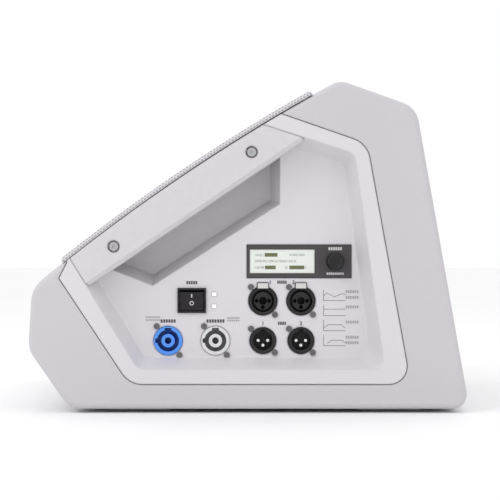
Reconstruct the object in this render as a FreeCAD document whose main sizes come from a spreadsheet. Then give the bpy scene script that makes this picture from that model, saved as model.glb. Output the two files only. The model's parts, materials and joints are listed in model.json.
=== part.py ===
import FreeCAD, Part
import math
import os
import Sketcher
from FreeCAD import Placement, Rotation, Vector

# An active coaxial stage monitor wedge. X runs from front to rear, Y across the
# width, Z up; the origin is on the floor under the middle of the cabinet.

DRIVING_SIZES = [
    # cabinet, seen from the side
    ("width", 400), ("wall", 6), ("roundover", 4.5), ("floorGap", 3),
    ("chinFootX", -147), ("chinLowX", -181.5), ("chinLowZ", 52),
    ("chinTopX", -178.6), ("chinTopZ", 103), ("apexX", 75.9), ("apexZ", 274.8),
    ("rearTopX", 139.3), ("rearTopZ", 252.2), ("rearFootX", 183.4),
    ("frontRadius", 1570), ("frontRise", 7.5),
    ("chinFootRound", 20), ("chinLowRound", 22), ("chinTopRound", 26),
    ("apexRound", 16.6), ("rearTopRound", 20), ("rearFootRound", 11.7),
    # grille and baffle, along the sloping front
    ("grilleLow", -120.5), ("grilleHigh", 128.3), ("grilleProud", 3.5),
    ("grilleSheet", 1.2), ("grilleSideGap", 0.8), ("grilleRound", 2.5), ("grilleSeat", 0.6), ("grilleLift", 0.2),
    ("foamThick", 4), ("foamSide", 173), ("openingSide", 186), ("openingMargin", 4),
    ("baffleDepth", 22), ("baffleThick", 8), ("baffleMiddle", 142), ("baffleSide", 193.5),
    ("baffleLow", -152), ("baffleHigh", 155), ("waistLow", -126), ("waistHigh", 116),
    ("portAlong", 98), ("portAcross", 100), ("portRadius", 18), ("portWall", 2.5), ("portLong", 78),
    # side panels
    ("panelThick", 3.5), ("panelGap", 0.6), ("panelLedge", 5),
    ("panelPlay", 0.2), ("panelFrontOut", 12),
    ("panelTopSlope", 19.2), ("panelDrop", 0.9), ("trimReach", 150), ("trimOut", 120),
    ("panelLeftX", -97.5), ("panelFootZ", 23.6), ("panelRightX", 134.2),
    ("panelTopX", 98.4), ("panelTopZ", 221.8), ("panelBluntX", -155.6), ("panelBluntZ", 111),
    ("panelFootRound", 20), ("panelRound", 15),
    ("dishLeftX", -90.8), ("dishFootZ", 35.8), ("dishRightX", 113), ("dishTopX", 88.3),
    ("dishTopZ", 213.6), ("dishHighX", 18.3), ("dishHighZ", 236.3),
    ("dishLowX", -145.9), ("dishLowZ", 125.2), ("dishDepth", 22), ("dishTaper", 22),
    ("dishRound", 10), ("dishFloorRound", 2.5), ("dishFloor", 3),
    ("gripDepth", 30), ("gripTaper", 14), ("gripWall", 3), ("gripLowX", -79.5), ("gripLowZ", 104.4),
    ("gripRearX", 26.9), ("gripRearLowZ", 172.8), ("gripRearTopZ", 228),
    ("gripFrontX", -128), ("gripFrontZ", 123.4),
    ("barWidth", 25), ("barPlay", 0.4), ("barChamfer", 3),
    ("boltHighX", 3.2), ("boltHighZ", 215.1), ("boltLowX", -110.7), ("boltLowZ", 137.2),
    ("boltPost", 11), ("boltHole", 3.3), ("boltSink", 5.1), ("boltSinkDepth", 5), ("boltHead", 3.6),
    ("boltHeadHigh", 3), ("boltShank", 3), ("boltLong", 30), ("boltSocket", 1.7),
    # feet
    ("footFrontX", -91), ("footRearX", 119), ("footLong", 64), ("footFlat", 48), ("footWide", 26),
    ("footInset", 24), ("footHigh", 3.4), ("footScrew", 2),
    ("footScrewHead", 3.6), ("footScrewLong", 8),
    # pole socket
    ("poleX", 20), ("poleZ", 100), ("poleRadius", 18),
    ("poleWall", 3), ("poleLong", 66), ("poleFlange", 30),
    ("poleFlangeThick", 3),
    # control floor
    ("mainsInX", -66.7), ("mainsOutX", -27.1), ("lowRowZ", 58.5), ("highRowZ", 91.8),
    ("firstInputX", 12.6), ("secondInputX", 44.4), ("socketRadius", 12), ("thruRadius", 11),
    ("socketPlay", 0.3), ("socketProud", 1), ("plateWide", 26), ("plateTall", 31), ("plateThick", 2),
    ("socketBack", 24), ("mainsThroat", 9.1), ("mainsThroatDepth", 20), ("mainsCore", 5.6),
    ("mainsCoreHole", 2.8), ("keyWide", 5.6), ("keyNarrow", 3.8), ("keyDeep", 1.6),
    ("thruThroat", 8), ("thruThroatDepth", 15), ("thruPin", 1.2), ("thruPinOff", 4),
    ("jackRadius", 3.2), ("jackDepth", 20), ("comboHole", 1.6),
    ("comboHoleRing", 5.2), ("comboFace", 7.5),
    ("latchWide", 8.7), ("latchHigh", 4.4), ("latchThick", 4),
    ("latchRise", 12.6), ("latchTravel", 1.8),
    ("latchProud", 2),
    ("screwAcross", 9.5), ("screwUp", 12), ("thruScrew", 9.9),
    ("comboScrewAcross", 10), ("comboScrewUp", 11.5),
    ("screwHead", 2.6), ("screwHeadHigh", 1.4), ("screwShank", 1.4), ("screwLong", 8),
    ("crossWide", 0.7), ("crossLong", 2.9), ("crossDeep", 0.8),
    ("bezelX", 42.9), ("bezelZ", 124.8), ("bezelWide", 87.1), ("bezelTall", 27.5), 
    ("bezelProud", 0.6), ("windowX", 28.7), ("windowWide", 54.1),
    ("windowTall", 19.8), ("windowThick", 1.2),
    ("lcdWide", 62), ("lcdTall", 26), ("lcdThick", 6),
    ("knobX", 73), ("knobZ", 124.7), ("knobRadius", 7),
    ("knobSkirt", 7.6), ("knobHigh", 13), ("knobLift", 1.3),
    ("shaftRadius", 3), ("knobBore", 3.03), ("bushRadius", 3.06),
    ("encoderSize", 13), ("encoderThick", 7),
    ("bushOuter", 4.5), 
    ("rockerX", -46.9), ("rockerZ", 92.1), ("rockerWide", 23.9),
    ("rockerTall", 20.9), ("rockerFlange", 1.8),
    ("rockerBack", 18), ("rockerRim", 1.7), ("rockerTilt", 8), ("rockerPivot", 2),
    ("rockerCap", 4.5), ("rockerPlay", 0.5), ("rockerStep", 2.2),
    ("rockerPin", 1.2), ("rockerPinPlay", 0.05),
    ("rockerPinLong", 0.9), ("rockerFoot", 4), ("rockerDip", 1.4),
    ("lightX", -28.2), ("lightHighZ", 97.3), ("lightLowZ", 87.2),
    ("lightWide", 4), ("lightTall", 3.2), ("lightLong", 12),
    # coaxial driver, along its own axis from the baffle face
    ("driverAlong", -10), ("basketRadius", 102), ("basketFlange", 4),
    ("baffleHole", 92), ("basketNeck", 66),
    ("basketDeep", 64), ("basketSheet", 2.5), ("gasketWide", 5), ("gasketThick", 2),
    ("surroundOuter", 94), ("surroundInner", 79), ("surroundRoll", 6), ("surroundSheet", 1),
    ("coneDeep", 32), ("coneSheet", 1.2), ("coilRadius", 25), ("coilWall", 0.8), ("coilLong", 46),
    ("spiderOuter", 70), ("spiderSheet", 1), ("spiderDepth", 44), 
    ("poleCore", 23.8), ("gapPlay", 0.7), ("topPlate", 8), ("magnetRadius", 62), ("magnetHole", 34),
    ("magnetHigh", 18), ("backPlate", 8), ("plateRadius", 58),
    ("throatRadius", 12.5), ("waveMouth", 22), ("waveSheet", 1.5), ("waveRise", 18),
    ("hfRadius", 32), ("hfHigh", 22), ("hfSheet", 2.5),
    ("domeRadius", 18), ("domeSheet", 0.6), ("domeRise", 5),
    ("driverScrewRing", 98), ("driverScrewHead", 3.6), ("driverScrewLong", 12),
    # electronics, all standing behind the control floor
    ("boardThick", 1.6), ("dspY", -143.2), ("dspWide", 100),
    ("dspTall", 96), ("dspX", 28), ("dspZ", 92),
    ("chassisY", -112), ("chassisThick", 2), ("chassisX", 8),
    ("chassisZ", 88), ("chassisWide", 170), ("chassisTall", 112),
    ("powerX", -48), ("powerWide", 46), ("powerTall", 70), ("powerZ", 84),
    ("ampX", 30), ("ampWide", 90), ("ampTall", 70),
    ("ampZ", 84), ("standoffHigh", 8), ("standoffRadius", 2.6),
    ("sinkWide", 120), ("sinkTall", 60), ("sinkBase", 4), ("finHigh", 14),
    ("finThick", 2), ("finCount", 12), ("sinkZ", 66),
    ("padThick", 20), ("padLow", 40), ("padHigh", 150), ("padSide", 100),
    ("postLong", 62), ("postLeftX", -74), ("postRightX", 86), ("postFootZ", 38), ("postRightTopZ", 134),
    ("postLeftTopZ", 96), ("pinLong", 31), ("pinSunk", 3), ("tailRadius", 0.8), ("tailLong", 6),
    ("woofCableRadius", 2), ("mainsCableRadius", 2.5),
]

doc = FreeCAD.newDocument("StageMonitorWedge")
sheet = doc.addObject("Spreadsheet::Sheet", "Sizes")
for row, (alias, amount) in enumerate(DRIVING_SIZES, 1):
    sheet.set(f"A{row}", str(amount))
    sheet.setAlias(f"A{row}", alias)
doc.recompute()

exported = []


# ---------------------------------------------------------------- helpers

def size(alias):
    """A driving size; a leading minus mirrors it."""
    if alias.startswith("-"):
        return -float(sheet.get(alias[1:]))
    return float(sheet.get(alias))


def bound(alias):
    """The same size as an expression."""
    if alias.startswith("-"):
        return "-Sizes." + alias[1:]
    return "Sizes." + alias


def number(coordinate):
    return size(coordinate) if isinstance(coordinate, str) else coordinate


def newBody(label, placement=Placement()):
    body = doc.addObject("PartDesign::Body", label)
    body.Label = label
    body.Placement = placement
    exported.append(body)
    return body


def newSketch(body, role="XY_Plane", lift=None):
    sketch = body.newObject("Sketcher::SketchObject", body.Name + "Sketch")
    plane = next(item for item in body.Origin.OriginFeatures if item.Role == role)
    sketch.AttachmentSupport = (plane, [""])
    sketch.MapMode = "FlatFace"
    if lift:
        sketch.setExpression("AttachmentOffset.Base.z", lift)
    return sketch


def tie(sketch, geometry, point, corner):
    """Holds one point of a sketch at its driving sizes."""
    for kind, coordinate in zip(("DistanceX", "DistanceY"), corner):
        if isinstance(coordinate, str):
            held = sketch.addConstraint(
                Sketcher.Constraint(kind, -1, 1, geometry, point, size(coordinate)))
            sketch.setExpression(f"Constraints[{held}]", bound(coordinate))


def bows(corner):
    return len(corner) == 3


def drawOutline(sketch, corners):
    """A closed outline of straight edges; a third value on a corner bows the next edge outward."""
    points = [Vector(number(corner[0]), number(corner[1]), 0) for corner in corners]
    first = sketch.GeometryCount
    for index, start in enumerate(points):
        end = points[(index + 1) % len(points)]
        if bows(corners[index]):
            across = (end - start).normalize()
            middle = (start + end) * 0.5 + Vector(-across.y, across.x, 0) * number(corners[index][2])
            ends = (end, start) if number(corners[index][2]) > 0 else (start, end)
            sketch.addGeometry(Part.Arc(ends[0], middle, ends[1]), False)
        else:
            sketch.addGeometry(Part.LineSegment(start, end), False)
    for index in range(len(points)):
        following = first + (index + 1) % len(points)
        endPoint = 2
        startPoint = 1
        edgeStart = sketch.Geometry[first + index].StartPoint
        if bows(corners[index]) and edgeStart.distanceToPoint(points[index]) > 0.01:
            endPoint = 1
        after = (index + 1) % len(points)
        nextStart = sketch.Geometry[following].StartPoint
        if bows(corners[after]) and nextStart.distanceToPoint(points[after]) > 0.01:
            startPoint = 2
        sketch.addConstraint(
            Sketcher.Constraint("Coincident", first + index, endPoint, following, startPoint))
    for index, corner in enumerate(corners):
        if not bows(corner):
            tie(sketch, first + index, 1, corner[:2])


def drawRectangle(sketch, centre, wide, tall):
    """wide and tall are expressions' values in mm, centred on centre."""
    x, y = number(centre[0]), number(centre[1])
    drawOutline(sketch, [(x - wide / 2, y - tall / 2), (x + wide / 2, y - tall / 2),
                         (x + wide / 2, y + tall / 2), (x - wide / 2, y + tall / 2)])


def drawCircle(sketch, centre, radius):
    """radius is an expression of driving sizes that starts with an alias."""
    x, y = number(centre[0]), number(centre[1])
    alias = radius.split()[0]
    circle = sketch.addGeometry(Part.Circle(Vector(x, y, 0), Vector(0, 0, 1), size(alias)), False)
    tie(sketch, circle, 3, centre)
    held = sketch.addConstraint(Sketcher.Constraint("Radius", circle, size(alias)))
    sketch.setExpression(f"Constraints[{held}]", "Sizes." + radius)


def pad(body, sketch, length, inward=False, taper=None):
    feature = body.newObject("PartDesign::Pad", body.Name + "Pad")
    feature.Profile = sketch
    feature.setExpression("Length", length)
    feature.Reversed = inward
    if taper:
        feature.setExpression("TaperAngle", taper)
    doc.recompute()
    return feature


def pocket(body, sketch, length=None, outward=False, taper=None):
    """Cuts against the sketch's normal, or along it when outward; with no length, right through."""
    before = body.Shape.Volume
    feature = body.newObject("PartDesign::Pocket", body.Name + "Pocket")
    feature.Profile = sketch
    if length:
        feature.setExpression("Length", length)
    else:
        feature.Type = "ThroughAll"
        feature.Midplane = True
    feature.Reversed = outward
    if taper:
        feature.setExpression("TaperAngle", taper)
    doc.recompute()
    if not body.Shape.Volume < before - 1e-3:
        raise ValueError(f"{body.Label}: a pocket cut nothing")
    return feature


def roundEdges(body, radius, chosen, kind="Fillet"):
    base = body.Tip
    edges = [f"Edge{index}" for index, edge in enumerate(base.Shape.Edges, 1) if chosen(edge)]
    if not edges:
        raise ValueError(f"{body.Label}: no edge to round")
    feature = body.newObject("PartDesign::" + kind, body.Name + kind)
    feature.Base = (base, edges)
    feature.setExpression("Radius" if kind == "Fillet" else "Size", radius)
    doc.recompute()
    if feature.Shape.isNull():
        raise ValueError(f"{body.Label}: rounding failed")
    return feature


def uprightAt(x, y, lowest=-1000.0, highest=1000.0):
    """Chooses the edges along local z that pass through x, y."""
    def chosen(edge):
        ends = [vertex.Point for vertex in edge.Vertexes]
        if len(ends) != 2:
            return False
        upright = abs(ends[0].z - ends[1].z) > 0.5
        inside = lowest <= min(ends[0].z, ends[1].z) and max(ends[0].z, ends[1].z) <= highest
        near = all(math.hypot(end.x - x, end.y - y) < 0.8 for end in ends)
        return upright and inside and near
    return chosen


def leaningFrom(corners):
    """Chooses the edges that lean inward from these points of the outer face."""
    def chosen(edge):
        ends = sorted((vertex.Point for vertex in edge.Vertexes), key=lambda point: point.z)
        if len(ends) != 2 or abs(ends[1].z) > 0.01 or ends[1].z - ends[0].z < 1:
            return False
        return any(math.hypot(ends[1].x - x, ends[1].y - y) < 0.8 for x, y in corners)
    return chosen


def levelAt(height):
    """Chooses the edges that lie in one plane across local z."""
    def chosen(edge):
        box = edge.BoundBox
        return abs(box.ZMax - height) < 1e-4 and abs(box.ZMin - height) < 1e-4
    return chosen


def turned(label, placement, outline):
    """A piece turned about its own z axis from a half outline of radius and height."""
    body = newBody(label, placement)
    sketch = newSketch(body, "XZ_Plane")
    drawOutline(sketch, outline)
    feature = body.newObject("PartDesign::Revolution", label + "Turn")
    feature.Profile = sketch
    feature.ReferenceAxis = (sketch, ["V_Axis"])
    feature.Angle = 360
    doc.recompute()
    return body


def block(label, centre, wide, deep, tall):
    """A plain box, centred on centre; each size is an expression."""
    box = doc.addObject("Part::Box", label)
    box.Label = label
    for side, length in (("Length", wide), ("Width", deep), ("Height", tall)):
        box.setExpression(side, length)
    for axis, middle, length in zip("xyz", centre, (wide, deep, tall)):
        box.setExpression("Placement.Base." + axis, f"{middle} - {length} / 2")
    exported.append(box)
    doc.recompute()
    return box


def group(label, *sets):
    """Small identical pieces share one node, as separate solids; each set is a template and its places."""
    feature = doc.addObject("Part::Feature", label)
    feature.Label = label
    copies = []
    for template, places in sets:
        for place in places:
            shape = template.Shape.copy()
            shape.Placement = place
            copies.append(shape)
    feature.Shape = Part.makeCompound(copies)
    feature.Placement = Placement()
    exported.append(feature)
    return feature


def grow(points, distance):
    """Moves every edge of a closed outline outward; a minus moves it inward."""
    flat = [Vector(number(point[0]), number(point[1]), 0) for point in points]
    area = sum(a.x * b.y - b.x * a.y for a, b in zip(flat, flat[1:] + flat[:1]))
    turn = 1 if area > 0 else -1
    moved = []
    for index, point in enumerate(flat):
        before = (point - flat[index - 1]).normalize()
        after = (flat[(index + 1) % len(flat)] - point).normalize()
        sideBefore = Vector(before.y, -before.x, 0) * turn
        sideAfter = Vector(after.y, -after.x, 0) * turn
        reach = distance / (1 + sideBefore.dot(sideAfter))
        corner = point + (sideBefore + sideAfter) * reach
        moved.append((corner.x, corner.y))
    return moved


# ---------------------------------------------------------------- frames

half = size("width") / 2
chordStart = Vector(size("chinTopX"), 0, size("chinTopZ"))
chordEnd = Vector(size("apexX"), 0, size("apexZ"))
chordMiddle = (chordStart + chordEnd) * 0.5
chordLength = chordStart.distanceToPoint(chordEnd)
upSlope = (chordEnd - chordStart).normalize()
outSlope = Vector(-upSlope.z, 0, upSlope.x)
slope = math.degrees(math.atan2(upSlope.z, upSlope.x))
upright = Rotation(Vector(1, 0, 0), 90)
slopeTurn = upright.multiply(Rotation(Vector(0, 0, 1), slope))
driverTurn = Rotation(Vector(0, 1, 0), -slope)


def sidePlace(x=0.0, z=0.0, depth=0.0):
    """Local x is rearward, y is up and z points out of the control side."""
    return Placement(Vector(x, -half + depth, z), upright)


def farSidePlace(x=0.0, z=0.0, depth=0.0):
    """The other side: local x is forward, y is up and z points out."""
    return Placement(Vector(x, half - depth, z), Rotation(Vector(0, 0, 1), 180).multiply(upright))


def onSlope(along, out):
    """A point of the side view given along and out from the front's chord."""
    point = chordMiddle + upSlope * along + outSlope * out
    return (point.x, point.z)


def driverPlace(along, across, out):
    """Local z points out of the baffle and x runs up the slope."""
    base = chordMiddle + upSlope * along + outSlope * out + Vector(0, across, 0)
    return Placement(base, driverTurn)


def frontBow(along):
    """How far the cabinet's front bulges out from its chord."""
    return size("frontRise") * (1 - (2 * along / chordLength) ** 2)


def crossing(start, direction, out):
    """Where a line of the side view meets the line that runs out from the chord."""
    normal = Vector(outSlope.x, outSlope.z, 0)
    middle = Vector(chordMiddle.x, chordMiddle.z, 0)
    step = (out - (start - middle).dot(normal)) / direction.dot(normal)
    return start + direction * step


# ---------------------------------------------------------------- enclosure

shellCorners = [("chinFootX", "floorGap"), ("rearFootX", "floorGap"), ("rearTopX", "rearTopZ"),
                ("apexX", "apexZ"), ("chinTopX", "chinTopZ"), ("chinLowX", "chinLowZ")]
panelRounds = ["panelFootRound", "panelRound", "panelFootRound"]
shellRounds = ["chinFootRound", "rearFootRound", "rearTopRound", "apexRound", "chinTopRound", "chinLowRound"]


def panelCorners(frontOut):
    """The side panel's outline; frontOut is where it ends under the grille."""
    topRight = Vector(size("panelTopX"), size("panelTopZ"), 0)
    topSlope = math.radians(size("panelTopSlope"))
    topEdge = Vector(-math.cos(topSlope), math.sin(topSlope), 0)
    topFront = crossing(topRight, topEdge, frontOut)
    blunt = Vector(size("panelBluntX"), size("panelBluntZ"), 0)
    bluntFront = crossing(blunt, Vector(outSlope.x * 0.2 + upSlope.x, outSlope.z + upSlope.z, 0), frontOut)
    return [("panelLeftX", "panelFootZ"), ("panelRightX", "panelFootZ"), ("panelTopX", "panelTopZ"),
            (topFront.x, topFront.y), (bluntFront.x, bluntFront.y), ("panelBluntX", "panelBluntZ")]


def dishCorners():
    """The recess's rim, carried past the front so that it is open towards the grille."""
    lift = size("dishDepth") * math.tan(math.radians(size("dishTaper"))) + size("frontRise") + 1
    topEdge = Vector(size("dishHighX") - size("dishTopX"), size("dishHighZ") - size("dishTopZ"), 0)
    leftEdge = Vector(size("dishLowX") - size("dishLeftX"), size("dishLowZ") - size("dishFootZ"), 0)
    topFront = crossing(Vector(size("dishTopX"), size("dishTopZ"), 0), topEdge, lift)
    leftFront = crossing(Vector(size("dishLeftX"), size("dishFootZ"), 0), leftEdge, lift)
    return [("dishLeftX", "dishFootZ"), ("dishRightX", "dishFootZ"), ("dishTopX", "dishTopZ"),
            (topFront.x, topFront.y), (leftFront.x, leftFront.y)]


def band(low, high, near, far):
    """A strip of the side view along the front's slope."""
    return [onSlope(low, near), onSlope(high, near), onSlope(high, far), onSlope(low, far)]


def bowedBand(low, high, inset, far):
    """A strip whose near side follows the bowed front, inset below it."""
    ends = [onSlope(along, frontBow(along) - inset) for along in (low, high)]
    rise = (high - low) ** 2 / (8 * size("frontRadius"))
    return [(*ends[0], rise), ends[1], onSlope(high, far), onSlope(low, far)]


def makeShell():
    body = newBody("cabinet_shell", Placement(Vector(0, half, 0), upright))
    outline = [corner for corner in shellCorners]
    sketch = newSketch(body)
    points = [(number(x), number(z)) for x, z in outline]
    apex = outline.index(("apexX", "apexZ"))
    bowed = outline[:apex] + [("apexX", "apexZ", -size("frontRise"))] + outline[apex + 1:]
    drawOutline(sketch, bowed)
    pad(body, sketch, "Sizes.width")
    for (x, z), radius in zip(points, shellRounds):
        roundEdges(body, "Sizes." + radius, uprightAt(x, z))
    roundEdges(body, "Sizes.roundover",
               lambda edge: all(abs(edge.valueAt(p).z - edge.valueAt(edge.FirstParameter).z) < 1e-6
                                for p in edge.ParameterRange) and edge.BoundBox.ZLength < 1e-6)

    inner = grow(points, -size("wall"))
    cavity = newSketch(body, lift="Sizes.wall")
    drawOutline(cavity, inner)
    pocket(body, cavity, "Sizes.width - 2 * Sizes.wall", outward=True)

    seat = newSketch(body)
    drawOutline(seat, bowedBand(size("grilleLow") - 0.5, size("grilleHigh") + 0.5, size("grilleSeat"), 40))
    pocket(body, seat)
    mouth = newSketch(body, lift="Sizes.width / 2 - Sizes.openingSide")
    margin = size("openingMargin")
    drawOutline(mouth, band(size("grilleLow") + margin, size("grilleHigh") - margin, -14, 20))
    pocket(body, mouth, "2 * Sizes.openingSide", outward=True)

    rebate = grow(panelCorners(size("panelFrontOut")), size("panelGap"))
    opening = grow(panelCorners(size("panelFrontOut")), -size("panelLedge"))
    for outline, deep, change in ((rebate, "panelThick + Sizes.panelPlay", "+ Sizes.panelGap"),
                                  (opening, "wall + Sizes.panelPlay", "- Sizes.panelLedge")):
        near = newSketch(body)
        drawOutline(near, outline)
        pocket(body, near, "Sizes." + deep, outward=True)
        far = newSketch(body, lift="Sizes.width")
        drawOutline(far, outline)
        pocket(body, far, "Sizes." + deep)
        for (x, z), radius in zip(outline, panelRounds):
            roundEdges(body, f"Sizes.{radius} {change}", uprightAt(x, z))

    tray = grow(dishCorners(), size("dishFloor") + size("panelGap"))
    for lift, outward in (("0", True), ("Sizes.width", False)):
        room = newSketch(body, lift=lift)
        drawOutline(room, tray)
        pocket(body, room, "Sizes.dishDepth + Sizes.dishFloor + Sizes.panelGap", outward=outward)
    return body


def makeBaffle():
    body = newBody("front_baffle", driverPlace(0, 0, -size("baffleDepth")))
    sketch = newSketch(body)
    drawOutline(sketch, [
        ("baffleLow", "-baffleSide"), ("waistLow", "-baffleSide"), ("waistLow", "-baffleMiddle"),
        ("waistHigh", "-baffleMiddle"), ("waistHigh", "-baffleSide"), ("baffleHigh", "-baffleSide"),
        ("baffleHigh", "baffleSide"), ("waistHigh", "baffleSide"), ("waistHigh", "baffleMiddle"),
        ("waistLow", "baffleMiddle"), ("waistLow", "baffleSide"), ("baffleLow", "baffleSide")])
    pad(body, sketch, "Sizes.baffleThick")
    holes = newSketch(body, lift="Sizes.baffleThick")
    drawCircle(holes, ("driverAlong", 0.0), "baffleHole")
    drawCircle(holes, ("portAlong", "portAcross"), "portRadius + Sizes.portWall")
    drawCircle(holes, ("portAlong", "-portAcross"), "portRadius + Sizes.portWall")
    pocket(body, holes)
    return body


def makeGrille():
    """A shallow lid of perforated sheet, bowed along the slope, with its edges turned down."""
    long = size("width") - 2 * size("grilleSideGap")
    place = Placement(chordMiddle + Vector(0, long / 2, 0), slopeTurn)
    low, high = size("grilleLow"), size("grilleHigh")

    def profile(inset, below=0.0):
        lowBase, highBase = [frontBow(along) - size("grilleSeat") + size("grilleLift") - below
                             for along in (low, high)]
        lowEnd = frontBow(low) + size("grilleProud") - inset
        highEnd = frontBow(high) + size("grilleProud") - inset
        chord = high - low - 2 * inset
        rise = chord ** 2 / (8 * size("frontRadius"))
        return [(low + inset, lowBase, rise), (high - inset, highBase),
                (high - inset, highEnd, -rise), (low + inset, lowEnd)]

    body = newBody("grille_panel", place)
    sketch = newSketch(body)
    drawOutline(sketch, profile(0))
    pad(body, sketch, "Sizes.width - 2 * Sizes.grilleSideGap")
    outerFace = frontBow(0) + size("grilleProud") - 1
    roundEdges(body, "Sizes.grilleRound",
               lambda edge: edge.BoundBox.ZLength < 1e-6 and edge.BoundBox.YMax > outerFace)
    hollow = newSketch(body, lift="Sizes.grilleSheet")
    drawOutline(hollow, profile(size("grilleSheet"), 1))
    pocket(body, hollow, "Sizes.width - 2 * (Sizes.grilleSideGap + Sizes.grilleSheet)", outward=True)
    return body


def makeGrilleFoam():
    inset = size("grilleSheet") + 0.4
    low, high = size("grilleLow") + 4, size("grilleHigh") - 4
    thick = size("foamThick")
    chord = high - low
    rise = chord ** 2 / (8 * size("frontRadius"))
    lowEnd = frontBow(low) + size("grilleProud") - inset
    highEnd = frontBow(high) + size("grilleProud") - inset
    body = newBody("grille_foam", Placement(chordMiddle + Vector(0, size("foamSide"), 0), slopeTurn))
    sketch = newSketch(body)
    drawOutline(sketch, [
        (low, lowEnd - thick, rise), (high, highEnd - thick), (high, highEnd, -rise), (low, lowEnd)])
    pad(body, sketch, "2 * Sizes.foamSide")
    return body


def mirrored(points, hand):
    """The same outline for either side of the cabinet."""
    if hand > 0:
        return list(points)
    flipped = []
    for index in reversed(range(len(points))):
        x, z = points[index][:2]
        bow = points[index - 1][2:]
        flipped.append((("-" + x) if isinstance(x, str) else -x, z, *bow))
    first = next((index for index, corner in enumerate(flipped) if bows(corner)), 0)
    return flipped[first:] + flipped[:first]


def plain(points, hand=1):
    return [(hand * number(x), number(z)) for x, z in points]


def frontTrim():
    """What the side pieces lose so that they end just under the grille."""
    return bowedBand(-size("trimReach"), size("trimReach"), size("panelDrop"), size("trimOut"))


def makeSidePanel(label, hand):
    body = newBody(label, sidePlace() if hand > 0 else farSidePlace())
    outline = panelCorners(size("panelFrontOut"))
    sketch = newSketch(body)
    drawOutline(sketch, mirrored(outline, hand))
    pad(body, sketch, "Sizes.panelThick", inward=True)
    for (x, z), radius in zip(plain(outline, hand), panelRounds):
        roundEdges(body, "Sizes." + radius, uprightAt(x, z))

    sketch = newSketch(body)
    drawOutline(sketch, mirrored(grow(dishCorners(), size("dishFloor")), hand))
    pad(body, sketch, "Sizes.dishDepth + Sizes.dishFloor", inward=True, taper="-Sizes.dishTaper")
    grip = [("gripLowX", "gripLowZ"), ("gripRearX", "gripRearLowZ"),
            ("gripRearX", "gripRearTopZ"), ("gripFrontX", "gripFrontZ")]
    sketch = newSketch(body, lift="-(Sizes.dishDepth + 0.5)")
    drawOutline(sketch, mirrored(grow(grip, size("gripWall")), hand))
    pad(body, sketch, "Sizes.gripDepth + Sizes.gripWall - 0.5", inward=True, taper="-Sizes.gripTaper")

    sketch = newSketch(body)
    drawOutline(sketch, mirrored(dishCorners(), hand))
    pocket(body, sketch, "Sizes.dishDepth", taper="-Sizes.dishTaper")
    roundEdges(body, "Sizes.dishRound", leaningFrom(plain(dishCorners()[:3], hand)))
    roundEdges(body, "Sizes.dishFloorRound", levelAt(-size("dishDepth")))
    sketch = newSketch(body, lift="-Sizes.dishDepth")
    drawOutline(sketch, mirrored(grip, hand))
    pocket(body, sketch, "Sizes.gripDepth", taper="-Sizes.gripTaper")

    posts = newSketch(body, lift="-Sizes.dishDepth")
    for x, z in (("boltHighX", "boltHighZ"), ("boltLowX", "boltLowZ")):
        drawCircle(posts, mirrored([(x, z)], hand)[0], "boltPost")
    pad(body, posts, "Sizes.gripDepth + 1", inward=True)
    holes = newSketch(body, lift="-Sizes.dishDepth")
    for x, z in (("boltHighX", "boltHighZ"), ("boltLowX", "boltLowZ")):
        drawCircle(holes, mirrored([(x, z)], hand)[0], "boltShank")
    pocket(body, holes, "Sizes.boltLong - Sizes.dishDepth + Sizes.boltSinkDepth")

    trim = newSketch(body)
    drawOutline(trim, mirrored(frontTrim(), hand))
    pocket(body, trim)
    return body


def cutControls(body):
    """The openings in the control floor."""
    floor = "-Sizes.dishDepth"
    holes = newSketch(body, lift=floor)
    for x in ("mainsInX", "mainsOutX"):
        drawCircle(holes, (x, "lowRowZ"), "socketRadius + Sizes.socketPlay")
    for x in ("firstInputX", "secondInputX"):
        drawCircle(holes, (x, "lowRowZ"), "thruRadius + Sizes.socketPlay")
        drawCircle(holes, (x, "highRowZ"), "socketRadius + Sizes.socketPlay")
    drawRectangle(holes, ("bezelX", "bezelZ"), size("bezelWide") + 0.6, size("bezelTall") + 0.6)
    drawRectangle(holes, ("rockerX", "rockerZ"), size("rockerWide") - 2, size("rockerTall") - 2)
    for z in ("lightHighZ", "lightLowZ"):
        drawRectangle(holes, ("lightX", z), size("lightWide") + 0.2, size("lightTall") + 0.2)
    pocket(body, holes, "Sizes.dishFloor + 1")
    slots = newSketch(body, lift=floor)
    for x in ("firstInputX", "secondInputX"):
        middle = size("highRowZ") + size("latchRise")
        drawRectangle(slots, (x, middle), size("latchWide") + 1.2, size("latchHigh") + 1.2)
    pocket(body, slots, "Sizes.dishFloor + 1")


def cutPoleHole(body):
    hole = newSketch(body, lift="-Sizes.dishDepth")
    drawCircle(hole, ("-poleX", "poleZ"), "poleRadius + Sizes.poleWall + Sizes.socketPlay")
    pocket(body, hole, "Sizes.dishFloor + 1")


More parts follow.
